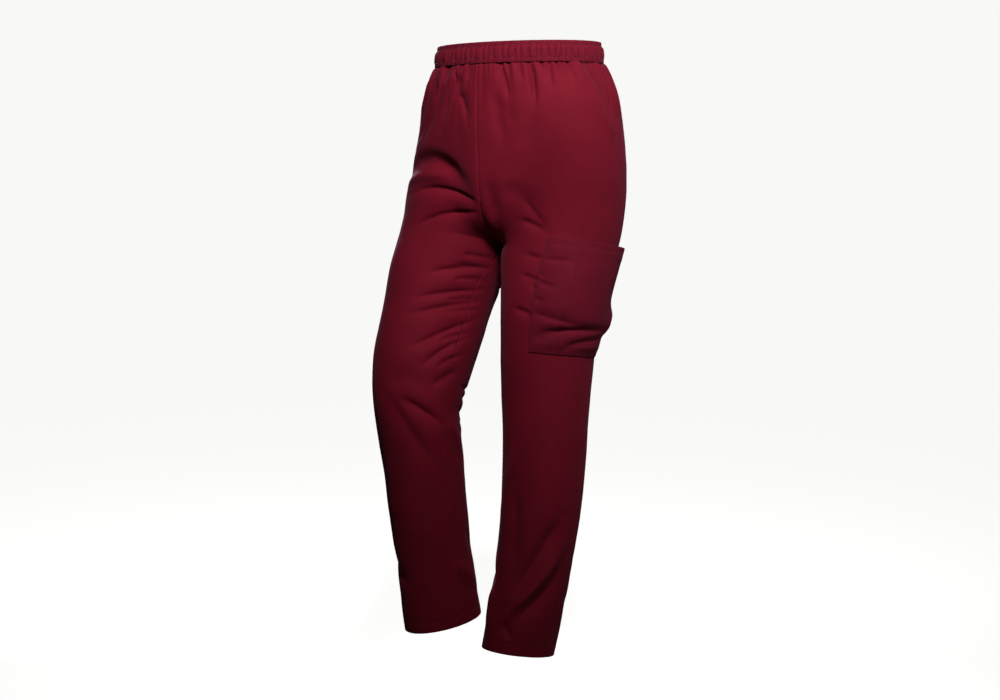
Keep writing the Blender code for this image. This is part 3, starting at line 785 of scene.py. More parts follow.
def linear(hex_colour: str) -> tuple[float, float, float, float]:
    """A colour from its sRGB hex value, in the linear values that shaders take.

    Args:
        hex_colour: The colour, as # and six hex digits.

    Returns:
        Red, green, blue and a full alpha.
    """
    parts = [int(hex_colour[i : i + 2], 16) / 255 for i in (1, 3, 5)]
    red, green, blue = (p / 12.92 if p <= 0.04045 else ((p + 0.055) / 1.055) ** 2.4 for p in parts)
    return red, green, blue, 1.0


def add_node(
    tree: bpy.types.NodeTree, kind: str, links: dict | None = None, **settings: object
) -> bpy.types.Node:
    """Adds a node with its settings, its sockets' values and its links.

    Args:
        tree: The node tree that takes it.
        kind: The node's type name.
        links: For each input socket, by name or number, another node's output, or a plain value.
        settings: Properties of the node itself.

    Returns:
        The new node.
    """
    node = tree.nodes.new(kind)
    for name, value in settings.items():
        setattr(node, name, value)
    for socket, value in (links or {}).items():
        if isinstance(value, bpy.types.NodeSocket):
            tree.links.new(value, node.inputs[socket])
        else:
            node.inputs[socket].default_value = value
    return node


def new_material(name: str) -> tuple[bpy.types.Material, bpy.types.NodeTree, bpy.types.Node]:
    """A new node material, with its tree and its main shader.

    Args:
        name: Its name.

    Returns:
        The material, its tree and its shader.
    """
    material = bpy.data.materials.new(name)
    material.use_nodes = True
    return material, material.node_tree, material.node_tree.nodes["Principled BSDF"]


def set_sockets(node: bpy.types.Node, values: dict) -> None:
    """Sets constant values on a node's own sockets."""
    for name, value in values.items():
        node.inputs[name].default_value = value


def colour_of(mix: bpy.types.Node) -> bpy.types.NodeSocket:
    """A mix node's colour result, which shares its name with its other kinds of result."""
    return next(socket for socket in mix.outputs if socket.type == "RGBA")


@dataclass(frozen=True)
class TwillFinish:
    """Poly-cotton twill, piece-dyed burgundy and pressed.

    The eye gets a matt cloth with a fine diagonal rib, threads that vary a little in shade, and a soft
    purplish bloom where the surface turns away, from the short fibres that stand off it.
    """

    name: str
    shade: str = "#760b22"
    deep: str = "#68091d"
    roughness: float = 0.82
    roughness_swing: float = 0.07
    sheen: float = 0.11
    # Real twill has about 0.6 mm between its ribs. At 1.6 mm they still show from a step away.
    rib_mm: float = 1.6
    thread_mm: float = 3.0
    mottle_mm: float = 55.0
    rib_height_mm: float = 0.05
    nap_height_mm: float = 0.10
    rib_strength: float = 0.8
    nap_strength: float = 0.6
    thread_share: float = 0.55
    mottle_most: float = 0.45
    specular: float = 0.14
    sheen_roughness: float = 0.45
    bloom: str = "#c07a9c"

    def material(self) -> bpy.types.Material:
        """The finish as a node material on the piece's own cloth coordinates, which are in metres.

        Returns:
            The material.
        """
        material, tree, shader = new_material(self.name)
        place = add_node(tree, "ShaderNodeUVMap", uv_map=UV_NAME).outputs["UV"]
        solid = add_node(tree, "ShaderNodeTexCoord").outputs["Object"]
        ribs, threads, mottle = self.ribs(tree, place), self.threads(tree, place), self.mottle(tree, solid)
        shares = {0: threads, 1: self.thread_share, 2: mottle}
        tone = add_node(tree, "ShaderNodeMath", shares, operation="MULTIPLY_ADD").outputs[0]
        shades = {"Factor": tone, "A": linear(self.deep), "B": linear(self.shade)}
        colour = colour_of(add_node(tree, "ShaderNodeMix", shades, data_type="RGBA"))
        tree.links.new(colour, shader.inputs["Base Color"])
        nap = {"Height": threads, "Distance": self.nap_height_mm * MM, "Strength": self.nap_strength}
        rib = {"Height": ribs, "Distance": self.rib_height_mm * MM, "Strength": self.rib_strength}
        rib["Normal"] = add_node(tree, "ShaderNodeBump", nap).outputs[0]
        tree.links.new(add_node(tree, "ShaderNodeBump", rib).outputs[0], shader.inputs["Normal"])
        least, most = self.roughness - self.roughness_swing, self.roughness + self.roughness_swing
        worn = add_node(tree, "ShaderNodeMapRange", {"Value": tone, "To Min": most, "To Max": least})
        tree.links.new(worn.outputs[0], shader.inputs["Roughness"])
        set_sockets(shader, {"Specular IOR Level": self.specular, "Sheen Weight": self.sheen})
        set_sockets(shader, {"Sheen Roughness": self.sheen_roughness, "Sheen Tint": linear(self.bloom)})
        return material

    def ribs(self, tree: bpy.types.NodeTree, place: bpy.types.NodeSocket) -> bpy.types.NodeSocket:
        """The diagonal ribs of the twill.

        Args:
            tree: The node tree that takes the nodes.
            place: The flat cloth coordinates.

        Returns:
            The ribs' height, from 0 to 1.
        """
        # Diagonal bands repeat each 0.628 units of x + y at scale 1.
        scale = 0.628 / (math.sqrt(2) * self.rib_mm * MM)
        links = {"Vector": place, "Scale": scale, "Distortion": 0.4, "Detail": 1.0}
        wave = add_node(tree, "ShaderNodeTexWave", links, wave_type="BANDS", bands_direction="DIAGONAL")
        return wave.outputs["Fac"]

    def threads(self, tree: bpy.types.NodeTree, place: bpy.types.NodeSocket) -> bpy.types.NodeSocket:
        """The uneven shade of the threads, in short streaks down the cloth.

        Args:
            tree: The node tree that takes the nodes.
            place: The flat cloth coordinates.

        Returns:
            The shade, from 0 to 1.
        """
        streaked = add_node(tree, "ShaderNodeMapping", {"Vector": place, "Scale": (1.0, 0.22, 1.0)})
        links = {"Vector": streaked.outputs[0], "Scale": 1 / (self.thread_mm * MM)}
        return add_node(tree, "ShaderNodeTexNoise", {**links, "Detail": 3.0, "Roughness": 0.6}).outputs["Fac"]

    def mottle(self, tree: bpy.types.NodeTree, solid: bpy.types.NodeSocket) -> bpy.types.NodeSocket:
        """The slow change of shade over a hand's width.

        Args:
            tree: The node tree that takes the nodes.
            solid: The object coordinates.

        Returns:
            The shade, from 0 to less than 1.
        """
        links = {"Vector": solid, "Scale": 1 / (self.mottle_mm * MM), "Detail": 2.0}
        noise = add_node(tree, "ShaderNodeTexNoise", links).outputs["Fac"]
        links = {"Value": noise, "From Min": 0.3, "From Max": 0.7, "To Min": 0.0, "To Max": self.mottle_most}
        return add_node(tree, "ShaderNodeMapRange", links).outputs[0]


@dataclass(frozen=True)
class ThreadFinish:
    """Spun polyester sewing thread, a little darker than the cloth, so that a row shows as fine dashes."""

    name: str = "burgundy_sewing_thread"
    shade: str = "#5a101f"
    deep: str = "#470b17"
    twist_mm: float = 1.2
    roughness: float = 0.6
    sheen: float = 0.2

    def material(self) -> bpy.types.Material:
        """The finish as a node material, with the thread's twist in its shade.

        Returns:
            The material.
        """
        material, tree, shader = new_material(self.name)
        solid = add_node(tree, "ShaderNodeTexCoord").outputs["Object"]
        links = {"Vector": solid, "Scale": 1 / (self.twist_mm * MM), "Detail": 1.0}
        twist = add_node(tree, "ShaderNodeTexNoise", links).outputs["Fac"]
        shades = {"Factor": twist, "A": linear(self.deep), "B": linear(self.shade)}
        colour = colour_of(add_node(tree, "ShaderNodeMix", shades, data_type="RGBA"))
        tree.links.new(colour, shader.inputs["Base Color"])
        set_sockets(shader, {"Roughness": self.roughness, "Sheen Weight": self.sheen})
        return material


def linked(name: str, data: bpy.types.ID) -> bpy.types.Object:
    """A new object for the data, linked to the scene.

    Args:
        name: Its name.
        data: What the object holds.

    Returns:
        The object.
    """
    made = bpy.data.objects.new(name, data)
    bpy.context.scene.collection.objects.link(made)
    return made


def mesh_piece(name: str, bm: bmesh.types.BMesh) -> bpy.types.Object:
    """A smooth-shaded object from a bmesh, which is then freed.

    Args:
        name: Its name.
        bm: The finished bmesh.

    Returns:
        The object, linked to the scene.
    """
    mesh = bpy.data.meshes.new(name)
    bm.to_mesh(mesh)
    bm.free()
    mesh.shade_smooth()
    return linked(name, mesh)


def cloth_grid(points: Array, flats: Array) -> bmesh.types.BMesh:
    """An operator's grid whose vertices are moved to their places.

    Args:
        points: Rows of places, in millimetres.
        flats: Each place's coordinates on the flat cloth, in metres.

    Returns:
        The grid, with the flat coordinates as its UV map.
    """
    rows, columns = points.shape[:2]
    bm = bmesh.new()
    bmesh.ops.create_grid(bm, x_segments=columns - 1, y_segments=rows - 1, size=1)
    layer = bm.loops.layers.uv.new(UV_NAME)
    places, flats = points.reshape(-1, 3) * MM, flats.reshape(-1, 2)
    for vert, spot in zip(bm.verts, places):
        vert.co = spot
    for face in bm.faces:
        for loop in face.loops:
            loop[layer].uv = flats[loop.vert.index]
    return bm


def cloth_sheet(name: str, points: Array, cloth_uv: Array, outward: bool, wall: float) -> bpy.types.Object:
    """A sheet of cloth with its own thickness.

    Args:
        name: The object's name.
        points: Rows of places, in millimetres.
        cloth_uv: Each place's coordinates on the flat cloth, in millimetres.
        outward: Whether the grid's faces already look outwards.
        wall: The cloth's thickness, in millimetres.

    Returns:
        The new object, linked to the scene.
    """
    bm = cloth_grid(points, cloth_uv * MM)
    if not outward:
        bmesh.ops.reverse_faces(bm, faces=bm.faces[:])
    piece = mesh_piece(name, bm)
    thickness = piece.modifiers.new("cloth_thickness", "SOLIDIFY")
    thickness.thickness = wall * MM
    thickness.offset = -1.0
    thickness.use_even_offset = True
    return piece


def dress(piece: bpy.types.Object, material: bpy.types.Material, nodes: Sequence[str] = ()) -> None:
    """Gives a finished piece its material, its body and the solids that it stands for.

    Args:
        piece: The finished piece.
        material: Its finish.
        nodes: The solids that it stands for.
    """
    piece.data.materials.append(material)
    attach(piece, "root")
    if nodes:
        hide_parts(*nodes)
    LOG.info("%s: %d faces", piece.name, len(piece.data.polygons))


def spread(first: float, last: float, step: float, edges: Sequence[float]) -> Array:
    """Places from first to last, even in the middle and closer beside both ends.

    Args:
        first: The first place.
        last: The last place.
        step: About how far apart the middle ones are.
        edges: Distances from each end at which there is a place too.

    Returns:
        The places in order.
    """
    reach = edges[-1]
    count = max(2, round((last - first - 2 * reach) / step))
    middle = np.linspace(first + reach, last - reach, count + 1)
    near = np.array(edges[:-1])
    return np.concatenate([first + near, middle, (last - near)[::-1]])


@dataclass
class LegPanel:
    """One leg panel: folded cloth with pressed seams at its edges and a turned-up hem."""

    side: Side
    edge: Edge
    hem_down: float
    flat: tuple[float, float]
    area: float
    wall: float = 0.8
    column_step: float = 2.5
    row_step: float = 2.8
    seam_t: float = 0.0002
    edge_steps: tuple[float, ...] = (0.0, 0.7, 1.4, 2.2, 3.2, 4.6, 6.6, 9.0)
    seam_roll: float = 0.8
    seam_roll_width: float = 0.9
    pocket_edge_share: float = 0.5
    side_seam_share: float = 1.7
    centre_seam_depth: float = 1.8
    centre_seam_width: float = 0.9
    centre_seam_fade: float = 60.0
    top_down: float = 0.6
    top_edges: tuple[float, ...] = (0.0, 1.2, 2.6, 4.5)
    tuck: float = 1.3
    tuck_foot: float = 5.2
    tuck_fade: float = 3.2
    hem_height: float = 17.0
    hem_gap: float = 1.7
    hem_proud: float = 0.12
    hem_ease: float = 1.6
    hem_groove: float = 0.3
    groove_width: float = 1.1
    hem_marks: tuple[float, ...] = (19.0, 18.2, 17.4, 16.6, 15.6, 13.4, 11, 8.6, 6.4, 4.4, 2.7, 1.4, 0.5)
    pocket_t: float = 0.205
    pocket_down: float = 138.0
    gape_most: float = 4.0
    gape_least: float = 0.2
    gape_width: float = 14.0
    gape_fade: float = 12.0
    # Where the pocket's edge stands away most, as places down, reaches and shares.
    gape_spots: tuple[tuple[float, float, float], ...] = ((98.0, 26.0, 1.0), (38.0, 16.0, 0.35))

    @property
    def name(self) -> str:
        """The piece's name, which is its node's with the word cloth."""
        return f"{self.node}_cloth"

    @property
    def node(self) -> str:
        """The solid that this piece stands for."""
        return f"{self.edge.name}_{self.side.name}".lower()

    def opening_t(self, down: Array) -> Array:
        """Where the panel's outer edge lies: on the slant of the hip pocket, or at the side seam.

        Args:
            down: Distance below the waist seam.

        Returns:
            Places across the half.
        """
        if self.edge is Edge.BACK:
            return 0 * down
        return self.pocket_t * np.clip(1 - down / self.pocket_down, 0, 1)

    def rows(self) -> tuple[Array, Array]:
        """How far down each row lies, and how far in, with the hem's rows turned up inside.

        Returns:
            Two columns, both in millimetres.
        """
        hem = self.hem_down
        leg_rows = spread(self.top_down, hem - self.hem_height - 3, self.row_step, self.top_edges)[:-3]
        outside = np.array([hem - mark for mark in self.hem_marks])
        turn = np.radians(np.linspace(0, 180, 7))
        turned = hem + self.hem_gap / 2 * np.sin(turn)
        depth = self.hem_gap / 2 * (1 - np.cos(turn))
        inside = hem - np.linspace(1.0, self.hem_height, 8)
        downs = np.concatenate([leg_rows, outside, turned, inside])
        inwards = np.concatenate([0 * leg_rows, 0 * outside, depth, np.full(len(inside), self.hem_gap)])
        return downs[:, None], inwards[:, None]

    def pressing(self, down: Array, t: Array, first: Array) -> Array:
        """The seams' rolled edges, the hem's step and the tuck under the band, in millimetres out.

        Args:
            down: Distance below the waist seam.
            t: Place across the half.
            first: Where the panel's outer edge lies, as a place across the half.

        Returns:
            Millimetres outwards.
        """
        unit = GIRTH_TABLE.at("unit", down)
        outer = np.where(down < self.pocket_down, self.pocket_edge_share, self.side_seam_share)
        above_fork = smooth((FORMS[self.side].fork_down - down) / self.centre_seam_fade)
        roll = -self.seam_roll * bell((np.abs(t) - first) * unit, self.seam_roll_width) * outer
        wide = self.seam_roll_width * (1 + self.centre_seam_width * above_fork)
        inner = 1 + self.centre_seam_depth * above_fork
        roll = roll - self.seam_roll * inner * bell((1 - np.abs(t)) * unit, wide)
        below_row = self.hem_height - (self.hem_down - down)
        hem = self.hem_proud * smooth(below_row / self.hem_ease)
        groove = -self.hem_groove * bell(below_row, self.groove_width)
        tuck = -self.tuck * smooth((self.tuck_foot - down) / self.tuck_fade)
        return roll + hem + groove + tuck

    def gape(self, down: Array, t: Array, first: Array) -> Array:
        """How far the hip pocket's free edge stands off its facing.

        Args:
            down: Distance below the waist seam.
            t: Place across the half.
            first: Where the panel's outer edge lies, as a place across the half.

        Returns:
            Millimetres outwards.
        """
        if self.edge is Edge.BACK:
            return 0 * t
        from_edge = (np.abs(t) - first) * GIRTH_TABLE.at("unit", down)
        where = self.gape_least + sum(share * bell(down - at, reach) for at, reach, share in self.gape_spots)
        where = where * smooth((self.pocket_down - down) / self.gape_fade)
        return self.gape_most * where * bell(from_edge, self.gape_width)

    def build(self) -> bpy.types.Object:
        """Makes the panel's mesh.

        Returns:
            The panel as a thin closed shell.
        """
        down, inwards = self.rows()
        first = self.seam_t + self.opening_t(down)
        width = GIRTH[2].unit
        share = spread(0, width, self.column_step, self.edge_steps)[None, :] / width
        t = first + share * (1 - self.seam_t - first)
        out = self.pressing(down, t, first) + self.gape(down, t, first) - inwards
        points = CLOTHS[self.side].place(down, self.edge.value * t, out)
        flat = np.stack(np.broadcast_arrays(t * width, -down), -1)
        outward = self.side.value * self.edge.value > 0
        return cloth_sheet(self.name, points, flat, outward, self.wall)

    def dress(self, material: bpy.types.Material) -> bpy.types.Object:
        """Args:
            material: Its finish.

        Returns:
            The dressed panel.
        """
        piece = self.build()
        dress(piece, material, [self.node])
        return piece


@dataclass
class HipFacing:
    """What shows of a hip pocket's facing, from the side seam to under the slanting edge."""

    side: Side
    flat: tuple[float, float] = (0.058, 0.125)
    area: float = 0.0046
    wall: float = 0.8
    top_down: float = 4.0
    foot_down: float = 119.0
    under_t: float = 0.075
    depth: float = 2.6
    deep_share: float = 1.3
    deep_down: float = 104.0
    deep_reach: float = 22.0
    roll: float = 0.45
    roll_width: float = 1.2
    pucker: float = 0.7
    pucker_pitch: float = 9.0
    pucker_fade: float = 20.0
    ramp: float = 0.6
    columns: int = 26
    row_step: float = 2.6
    pocket_t: float = 0.205
    pocket_down: float = 138.0
    seam_t: float = 0.0002

    def build(self) -> bpy.types.Object:
        """Makes the facing's mesh.

        Returns:
            The facing as a thin closed shell, one layer behind the front panel's edge.
        """
        down = np.arange(self.top_down, self.foot_down, self.row_step)[:, None]
        edge = self.pocket_t * np.clip(1 - down / self.pocket_down, 0, 1)
        t = self.seam_t + np.linspace(0, 1, self.columns)[None, :] * (edge + self.under_t - self.seam_t)
        under = np.minimum((t - self.seam_t) / (edge * self.ramp), 1)
        from_seam = t * GIRTH_TABLE.at("unit", down)
        roll = -self.roll * bell(from_seam, self.roll_width)
        pucker = self.pucker * np.sin(from_seam * 2 * math.pi / self.pucker_pitch) * bell(down, self.pucker_fade)
        hollow = self.depth * (1 + self.deep_share * bell(down - self.deep_down, self.deep_reach))
        points = CLOTHS[self.side].place(down, t, roll + pucker - hollow * under)
        flat = np.stack(np.broadcast_arrays(t * GIRTH[2].unit, -down), -1)
        return cloth_sheet(f"{self.node}_cloth", points, flat, self.side is Side.LEFT, self.wall)

    @property
    def node(self) -> str:
        """The solid that this piece stands for."""
        return f"hip_facing_{self.side.name.lower()}"

    def dress(self, material: bpy.types.Material) -> bpy.types.Object:
        """Args:
            material: Its finish.

        Returns:
            The dressed facing.
        """
        piece = self.build()
        dress(piece, material, [self.node])
        return piece


@dataclass
class CargoPocket:
    """The patch pocket over the left side seam, sewn at three edges, with a hemmed open mouth."""

    mouth_down: float = 285.0
    mouth_slant: float = 18.0
    foot_down: float = 474.0
    front_t: float = 0.4286
    rear_t: float = -0.25
    wall: float = 0.8
    lay: float = 1.75
    proud: float = 15.0
    low_proud: float = 2.0
    bulge_power: float = 4.0
    foot_share: float = 0.08
    rear_lean: float = 1.25
    fullness: float = 0.75
    edge_roll: float = 1.0
    edge_roll_width: float = 1.3
    edge_row: float = 3.0
    edge_groove: float = 0.35
    edge_groove_width: float = 1.2
    slant_power: float = 0.8
    hem_height: float = 21.0
    hem_rows: tuple[float, ...] = (11.5, 20.4)
    hem_groove: float = 0.4
    hem_groove_width: float = 1.1
    hem_ease: float = 1.8
    hem_proud: float = 0.6
    hem_gap: float = 1.5
    row_step: float = 2.6
    column_step: float = 2.4
    edge_steps: tuple[float, ...] = (0.0, 0.8, 1.6, 2.6, 3.6, 5.2)
    stand_flat: float = 2.5
    divider_t: float = 0.235
    divider_sway: float = 0.035
    divider_turn: tuple[float, float] = (400.0, 60.0)
    flat: tuple[float, float] = (0.185, 0.191)
    creasing: Creasing = field(default_factory=lambda: Creasing(POCKET_CREASES))

    def slanted(self, down: Array, t: Array) -> Array:
        """Moves a level of the pocket down towards its rear edge, most at the mouth and not at the foot."""
        fall = np.clip((down - self.mouth_down) / (self.foot_down - self.mouth_down), -0.01, 1)
        return down + self.mouth_slant * np.clip(self.across(t), 0, 1) ** self.slant_power * (1 - fall)

    def across(self, t: Array) -> Array:
        """The share of the way from the pocket's front edge to its rear edge."""
        return (self.front_t - t) / (self.front_t - self.rear_t)

    def stand(self, down: Array, t: Array) -> Array:
        """How far the pocket stands off the leg.

        Args:
            down: Distance below the waist seam.
            t: Place across the half.

        Returns:
            Millimetres outwards.
        """
        fall = np.clip((down - self.mouth_down) / (self.foot_down - self.mouth_down), 0, 1)
        height = self.proud * (1 - fall**self.bulge_power) + self.low_proud * fall
        height = height * np.clip((1 - fall) / self.foot_share, 0, 1)
        across = np.clip(self.across(t), 0, 1)
        return height * np.clip(np.sin(math.pi * across**self.rear_lean), 0, 1) ** self.fullness

    def out(self, down: Array, t: Array) -> Array:
        """How far the pocket's outer face lies from the leg's, with its creases, hem and rolled edges.

        Args:
            down: Distance below the waist seam.
            t: Place across the half.

        Returns:
            Millimetres outwards.
        """
        down, t = np.broadcast_arrays(down, t)
        stand = self.stand(down, t)
        folds = self.creasing.lift(down, t)
        stand = np.maximum(stand + folds * np.clip(stand / self.stand_flat, 0, 1), 0)
        sides = np.minimum(self.front_t - t, t - self.rear_t) * GIRTH[2].unit
        near = np.minimum(sides, self.foot_down - down)
        roll = -self.edge_roll * bell(near, self.edge_roll_width)
        roll = roll - self.edge_groove * bell(near - self.edge_row, self.edge_groove_width)
        from_mouth = down - self.mouth_down
        hem = self.hem_proud * (1 - smooth((from_mouth - self.hem_height) / self.hem_ease))
        for row in self.hem_rows:
            hem = hem - self.hem_groove * bell(from_mouth - row, self.hem_groove_width)
        return stand + self.lay + roll + hem

    def place(self, down: Array, t: Array, out: Array | float = 0.0) -> Array:
        """Places on the pocket's outer face, moved out from it, with down counted at the front edge."""
        return CLOTHS[Side.LEFT].place(self.slanted(down, t), t, self.out(down, t) + out)

    def rows(self) -> tuple[Array, Array]:
        """How far down each row lies and how far in, from inside the mouth's hem, over its edge and down.

        Returns:
            Two columns, both in millimetres.
        """
        turn = np.radians(np.linspace(0, 180, 7))
        inside = self.mouth_down + np.linspace(self.hem_height, 1.0, 7)
        over = self.mouth_down - self.hem_gap / 2 * np.sin(turn)
        depth = self.hem_gap / 2 * (1 + np.cos(turn))
        outside = spread(self.mouth_down + 0.5, self.foot_down, self.row_step, self.edge_steps)
        downs = np.concatenate([inside, over, outside])
        inwards = np.concatenate([np.full(len(inside), self.hem_gap), depth, 0 * outside])
        return downs[:, None], inwards[:, None]

    def build(self) -> bpy.types.Object:
        """Makes the pocket's mesh.

        Returns:
            The pocket as a thin closed shell, open between its mouth and the leg.
        """
        down, inwards = self.rows()
        width = (self.front_t - self.rear_t) * GIRTH[2].unit
        share = spread(0, width, self.column_step, self.edge_steps)[None, :] / width
        t = self.front_t - share * (self.front_t - self.rear_t)
        points = self.place(down, t, -inwards)
        flat = np.stack(np.broadcast_arrays(share * width, -down), -1)
        return cloth_sheet("cargo_pocket_cloth", points, flat, False, self.wall)

    def dress(self, material: bpy.types.Material) -> bpy.types.Object:
        """Args:
            material: Its finish.

        Returns:
            The dressed pocket.
        """
        piece = self.build()
        dress(piece, material, ["cargo_pocket"])
        return piece


@dataclass
class Waistband:
    """The casing over elastic, with a stitched strip below it and a narrow frill above, all in small pleats."""

    columns_a_pleat: int = 20
    crest_power: float = 4.0
    crest_flat: float = 0.85
    pleat_size: float = 0.8
    pleat_stray: float = 0.3
    pleat_seed: float = 2.4
    drop: float = 4.0
    flat: tuple[float, float] = (1.06, 0.037)
    tilt: float = 0.017
    height: float = 36.0
    section: tuple[BandRow, ...] = BAND
    outer_rows: int = 19

    def crest(self, share: Array) -> Array:
        """A pleat's section: a full, nearly flat top between two narrow clefts."""
        flat = 1 - np.abs(2 * share - 1) ** self.crest_power
        return self.crest_flat * flat + (1 - self.crest_flat) * np.sin(math.pi * share)

    def ring(self, angle: Array, pleat: Array, lean: Array, row: BandRow) -> Array:
        """Places round the band at one level of its section.

        Args:
            angle: Each column's angle round the band.
            pleat: Each column's height of pleat.
            lean: How far each column leans, as an angle.
            row: The level of the band's section.

        Returns:
            Points in millimetres.
        """
        turned = angle + lean * row.height / self.height
        out = row.set_out + PLEATS.lift * row.pleat * pleat
        waist = SEAT[0]
        depth = np.where(np.sin(turned) > 0, waist.back, waist.front)
        x = waist.sway + (waist.half_width + out) * np.cos(turned)
        return stack(x, (depth + out) * np.sin(turned), row.height - self.drop + self.tilt * x)

    def pleated(self) -> tuple[Array, Array, Array]:
        """Each column's angle, its pleat's height and its lean.

        Returns:
            The three, one value to a column.
        """
        edges = PLEATS.edges()
        share = np.arange(self.columns_a_pleat) / self.columns_a_pleat
        angles, heights, leans = [], [], []
        for i, (first, last) in enumerate(zip(edges, edges[1:])):
            width = last - first
            angles.append(first + share * width)
            size = self.pleat_size + self.pleat_stray * wander(i, self.pleat_seed)
            heights.append(self.crest(share) * size)
            leans.append(np.full(len(share), PLEATS.lean * width * wander(i, PLEATS.lean_seed)))
        return np.concatenate(angles), np.concatenate(heights), np.concatenate(leans)

    def build(self) -> bpy.types.Object:
        """Makes the band's mesh.

        Returns:
            The band as one closed ring.
        """
        angle, pleat, lean = self.pleated()
        rings = [self.ring(angle, pleat, lean, row) for row in self.section]
        points = np.array(rings + rings[:1])
        points = np.concatenate([points, points[:, :1]], 1)
        around = np.linspace(0, self.flat[0], points.shape[1])[None, :]
        along = np.cumsum([0.0] + [math.dist(a[:2], b[:2]) for a, b in zip(self.section, self.section[1:])])
        along = np.append(along, along[-1] + 1)[:, None] * MM
        bm = cloth_grid(points, np.stack(np.broadcast_arrays(around, along), -1))
        bmesh.ops.remove_doubles(bm, verts=bm.verts[:], dist=1e-6)
        bmesh.ops.recalc_face_normals(bm, faces=bm.faces[:])
        return mesh_piece("waistband_cloth", bm)

    def dress(self, material: bpy.types.Material) -> bpy.types.Object:
        """Args:
            material: Its finish.

        Returns:
            The dressed band.
        """
        piece = self.build()
        dress(piece, material, ["waistband"])
        return piece

    def stitch_line(self, height: float, out: float) -> tuple[Array, Array]:
        """A line of sewing round the band: its places and the directions away from the cloth.

        Args:
            height: The line's height on the band.
            out: Millimetres out from the cloth's face.

        Returns:
            The places and the directions.
        """
        angle, pleat, lean = self.pleated()
        rows = np.array(self.section[: self.outer_rows])
        values = [float(np.interp(height, rows[:, 0], rows[:, i])) for i in (1, 2)]
        row = BandRow(height, values[0] + out, values[1])
        points = self.ring(angle, pleat, lean, row)
        points = np.concatenate([points, points[:1]])
        away = unit_of(np.stack([np.cos(angle), np.sin(angle), 0 * angle], -1))
        return points, np.concatenate([away, away[:1]])


@dataclass
class Sewing:
    """All the rows of sewing that show, as one mesh of small stitches."""

    band_rows: tuple[float, ...] = (-16.6, -10.7, 9.9)
    band_out: float = 0.25
    hip_rows: tuple[float, ...] = (1.9, 7.0)
    pitch: float = 3.1
    length: float = 2.3
    width: float = 0.50
    thickness: float = 0.34
    out: float = 0.12
    lines: list[tuple[Array, Array]] = field(default_factory=list)

    def on_cloth(self, place: Callable[[Array, Array, float], Array], down: Array, t: Array) -> None:
        """Adds a row along places on a piece of cloth.

        Args:
            place: The piece's own function from (down, t, out) to points.
            down: Distance below the waist seam for each place.
            t: Place across the half for each.
        """
        down, t = down[:, None], t[:, None]
        on, off = place(down, t, self.out)[:, 0], place(down, t, self.out + 1)[:, 0]
        self.lines.append((on, unit_of(off - on)))

    def stitches(self, points: Array, away: Array) -> tuple[Array, Array, Array]:
        """Where the stitches of one row lie: their middles, directions and normals.

        Args:
            points: Places along the row.
            away: The directions away from the cloth there.

        Returns:
            The three, one row to a stitch.
        """
        run = np.concatenate([[0], np.cumsum(np.linalg.norm(np.diff(points, axis=0), axis=1))])
        middles = np.arange(self.pitch / 2, run[-1], self.pitch)

        def read(values: Array, at: Array) -> Array:
            """Values along the row, at each length."""
            return np.stack([np.interp(at, run, values[:, i]) for i in range(3)], -1)

        ahead = unit_of(read(points, middles + self.length / 2) - read(points, middles - self.length / 2))
        up = read(away, middles)
        up = unit_of(up - (up * ahead).sum(-1, keepdims=True) * ahead)
        return read(points, middles), ahead, up

    def build(self) -> bpy.types.Object:
        """Makes one mesh of every stitch, each a small rounded grain copied from one operator-made shape.

        Returns:
            The sewing as one object.
        """
        grain = bmesh.new()
        bmesh.ops.create_icosphere(grain, subdivisions=1, radius=0.5)
        shape = np.array([vert.co[:] for vert in grain.verts])
        faces = np.array([[vert.index for vert in face.verts] for face in grain.faces])
        grain.free()
        shape = shape * (self.length, self.width, self.thickness)
        places, triangles, count = [], [], 0
        for points, away in self.lines:
            middles, ahead, up = self.stitches(points, away)
            beside = np.cross(up, ahead)
            axes = np.stack([ahead, beside, up], 1)
            spots = middles[:, None] + np.einsum("va,sac->svc", shape, axes)
            places.append(spots.reshape(-1, 3))
            starts = count + np.arange(len(middles)) * len(shape)
            triangles.append((faces[None] + starts[:, None, None]).reshape(-1, 3))
            count += len(middles) * len(shape)
        mesh = bpy.data.meshes.new("sewing")
        mesh.from_pydata(np.concatenate(places) * MM, [], np.concatenate(triangles))
        mesh.shade_smooth()
        return linked("sewing", mesh)

    def dress(self, material: bpy.types.Material) -> bpy.types.Object:
        """Builds the sewing and gives it its finish.

        Args:
            material: Its finish.

        Returns:
            The dressed sewing.
        """
        piece = self.build()
        dress(piece, material)
        return piece


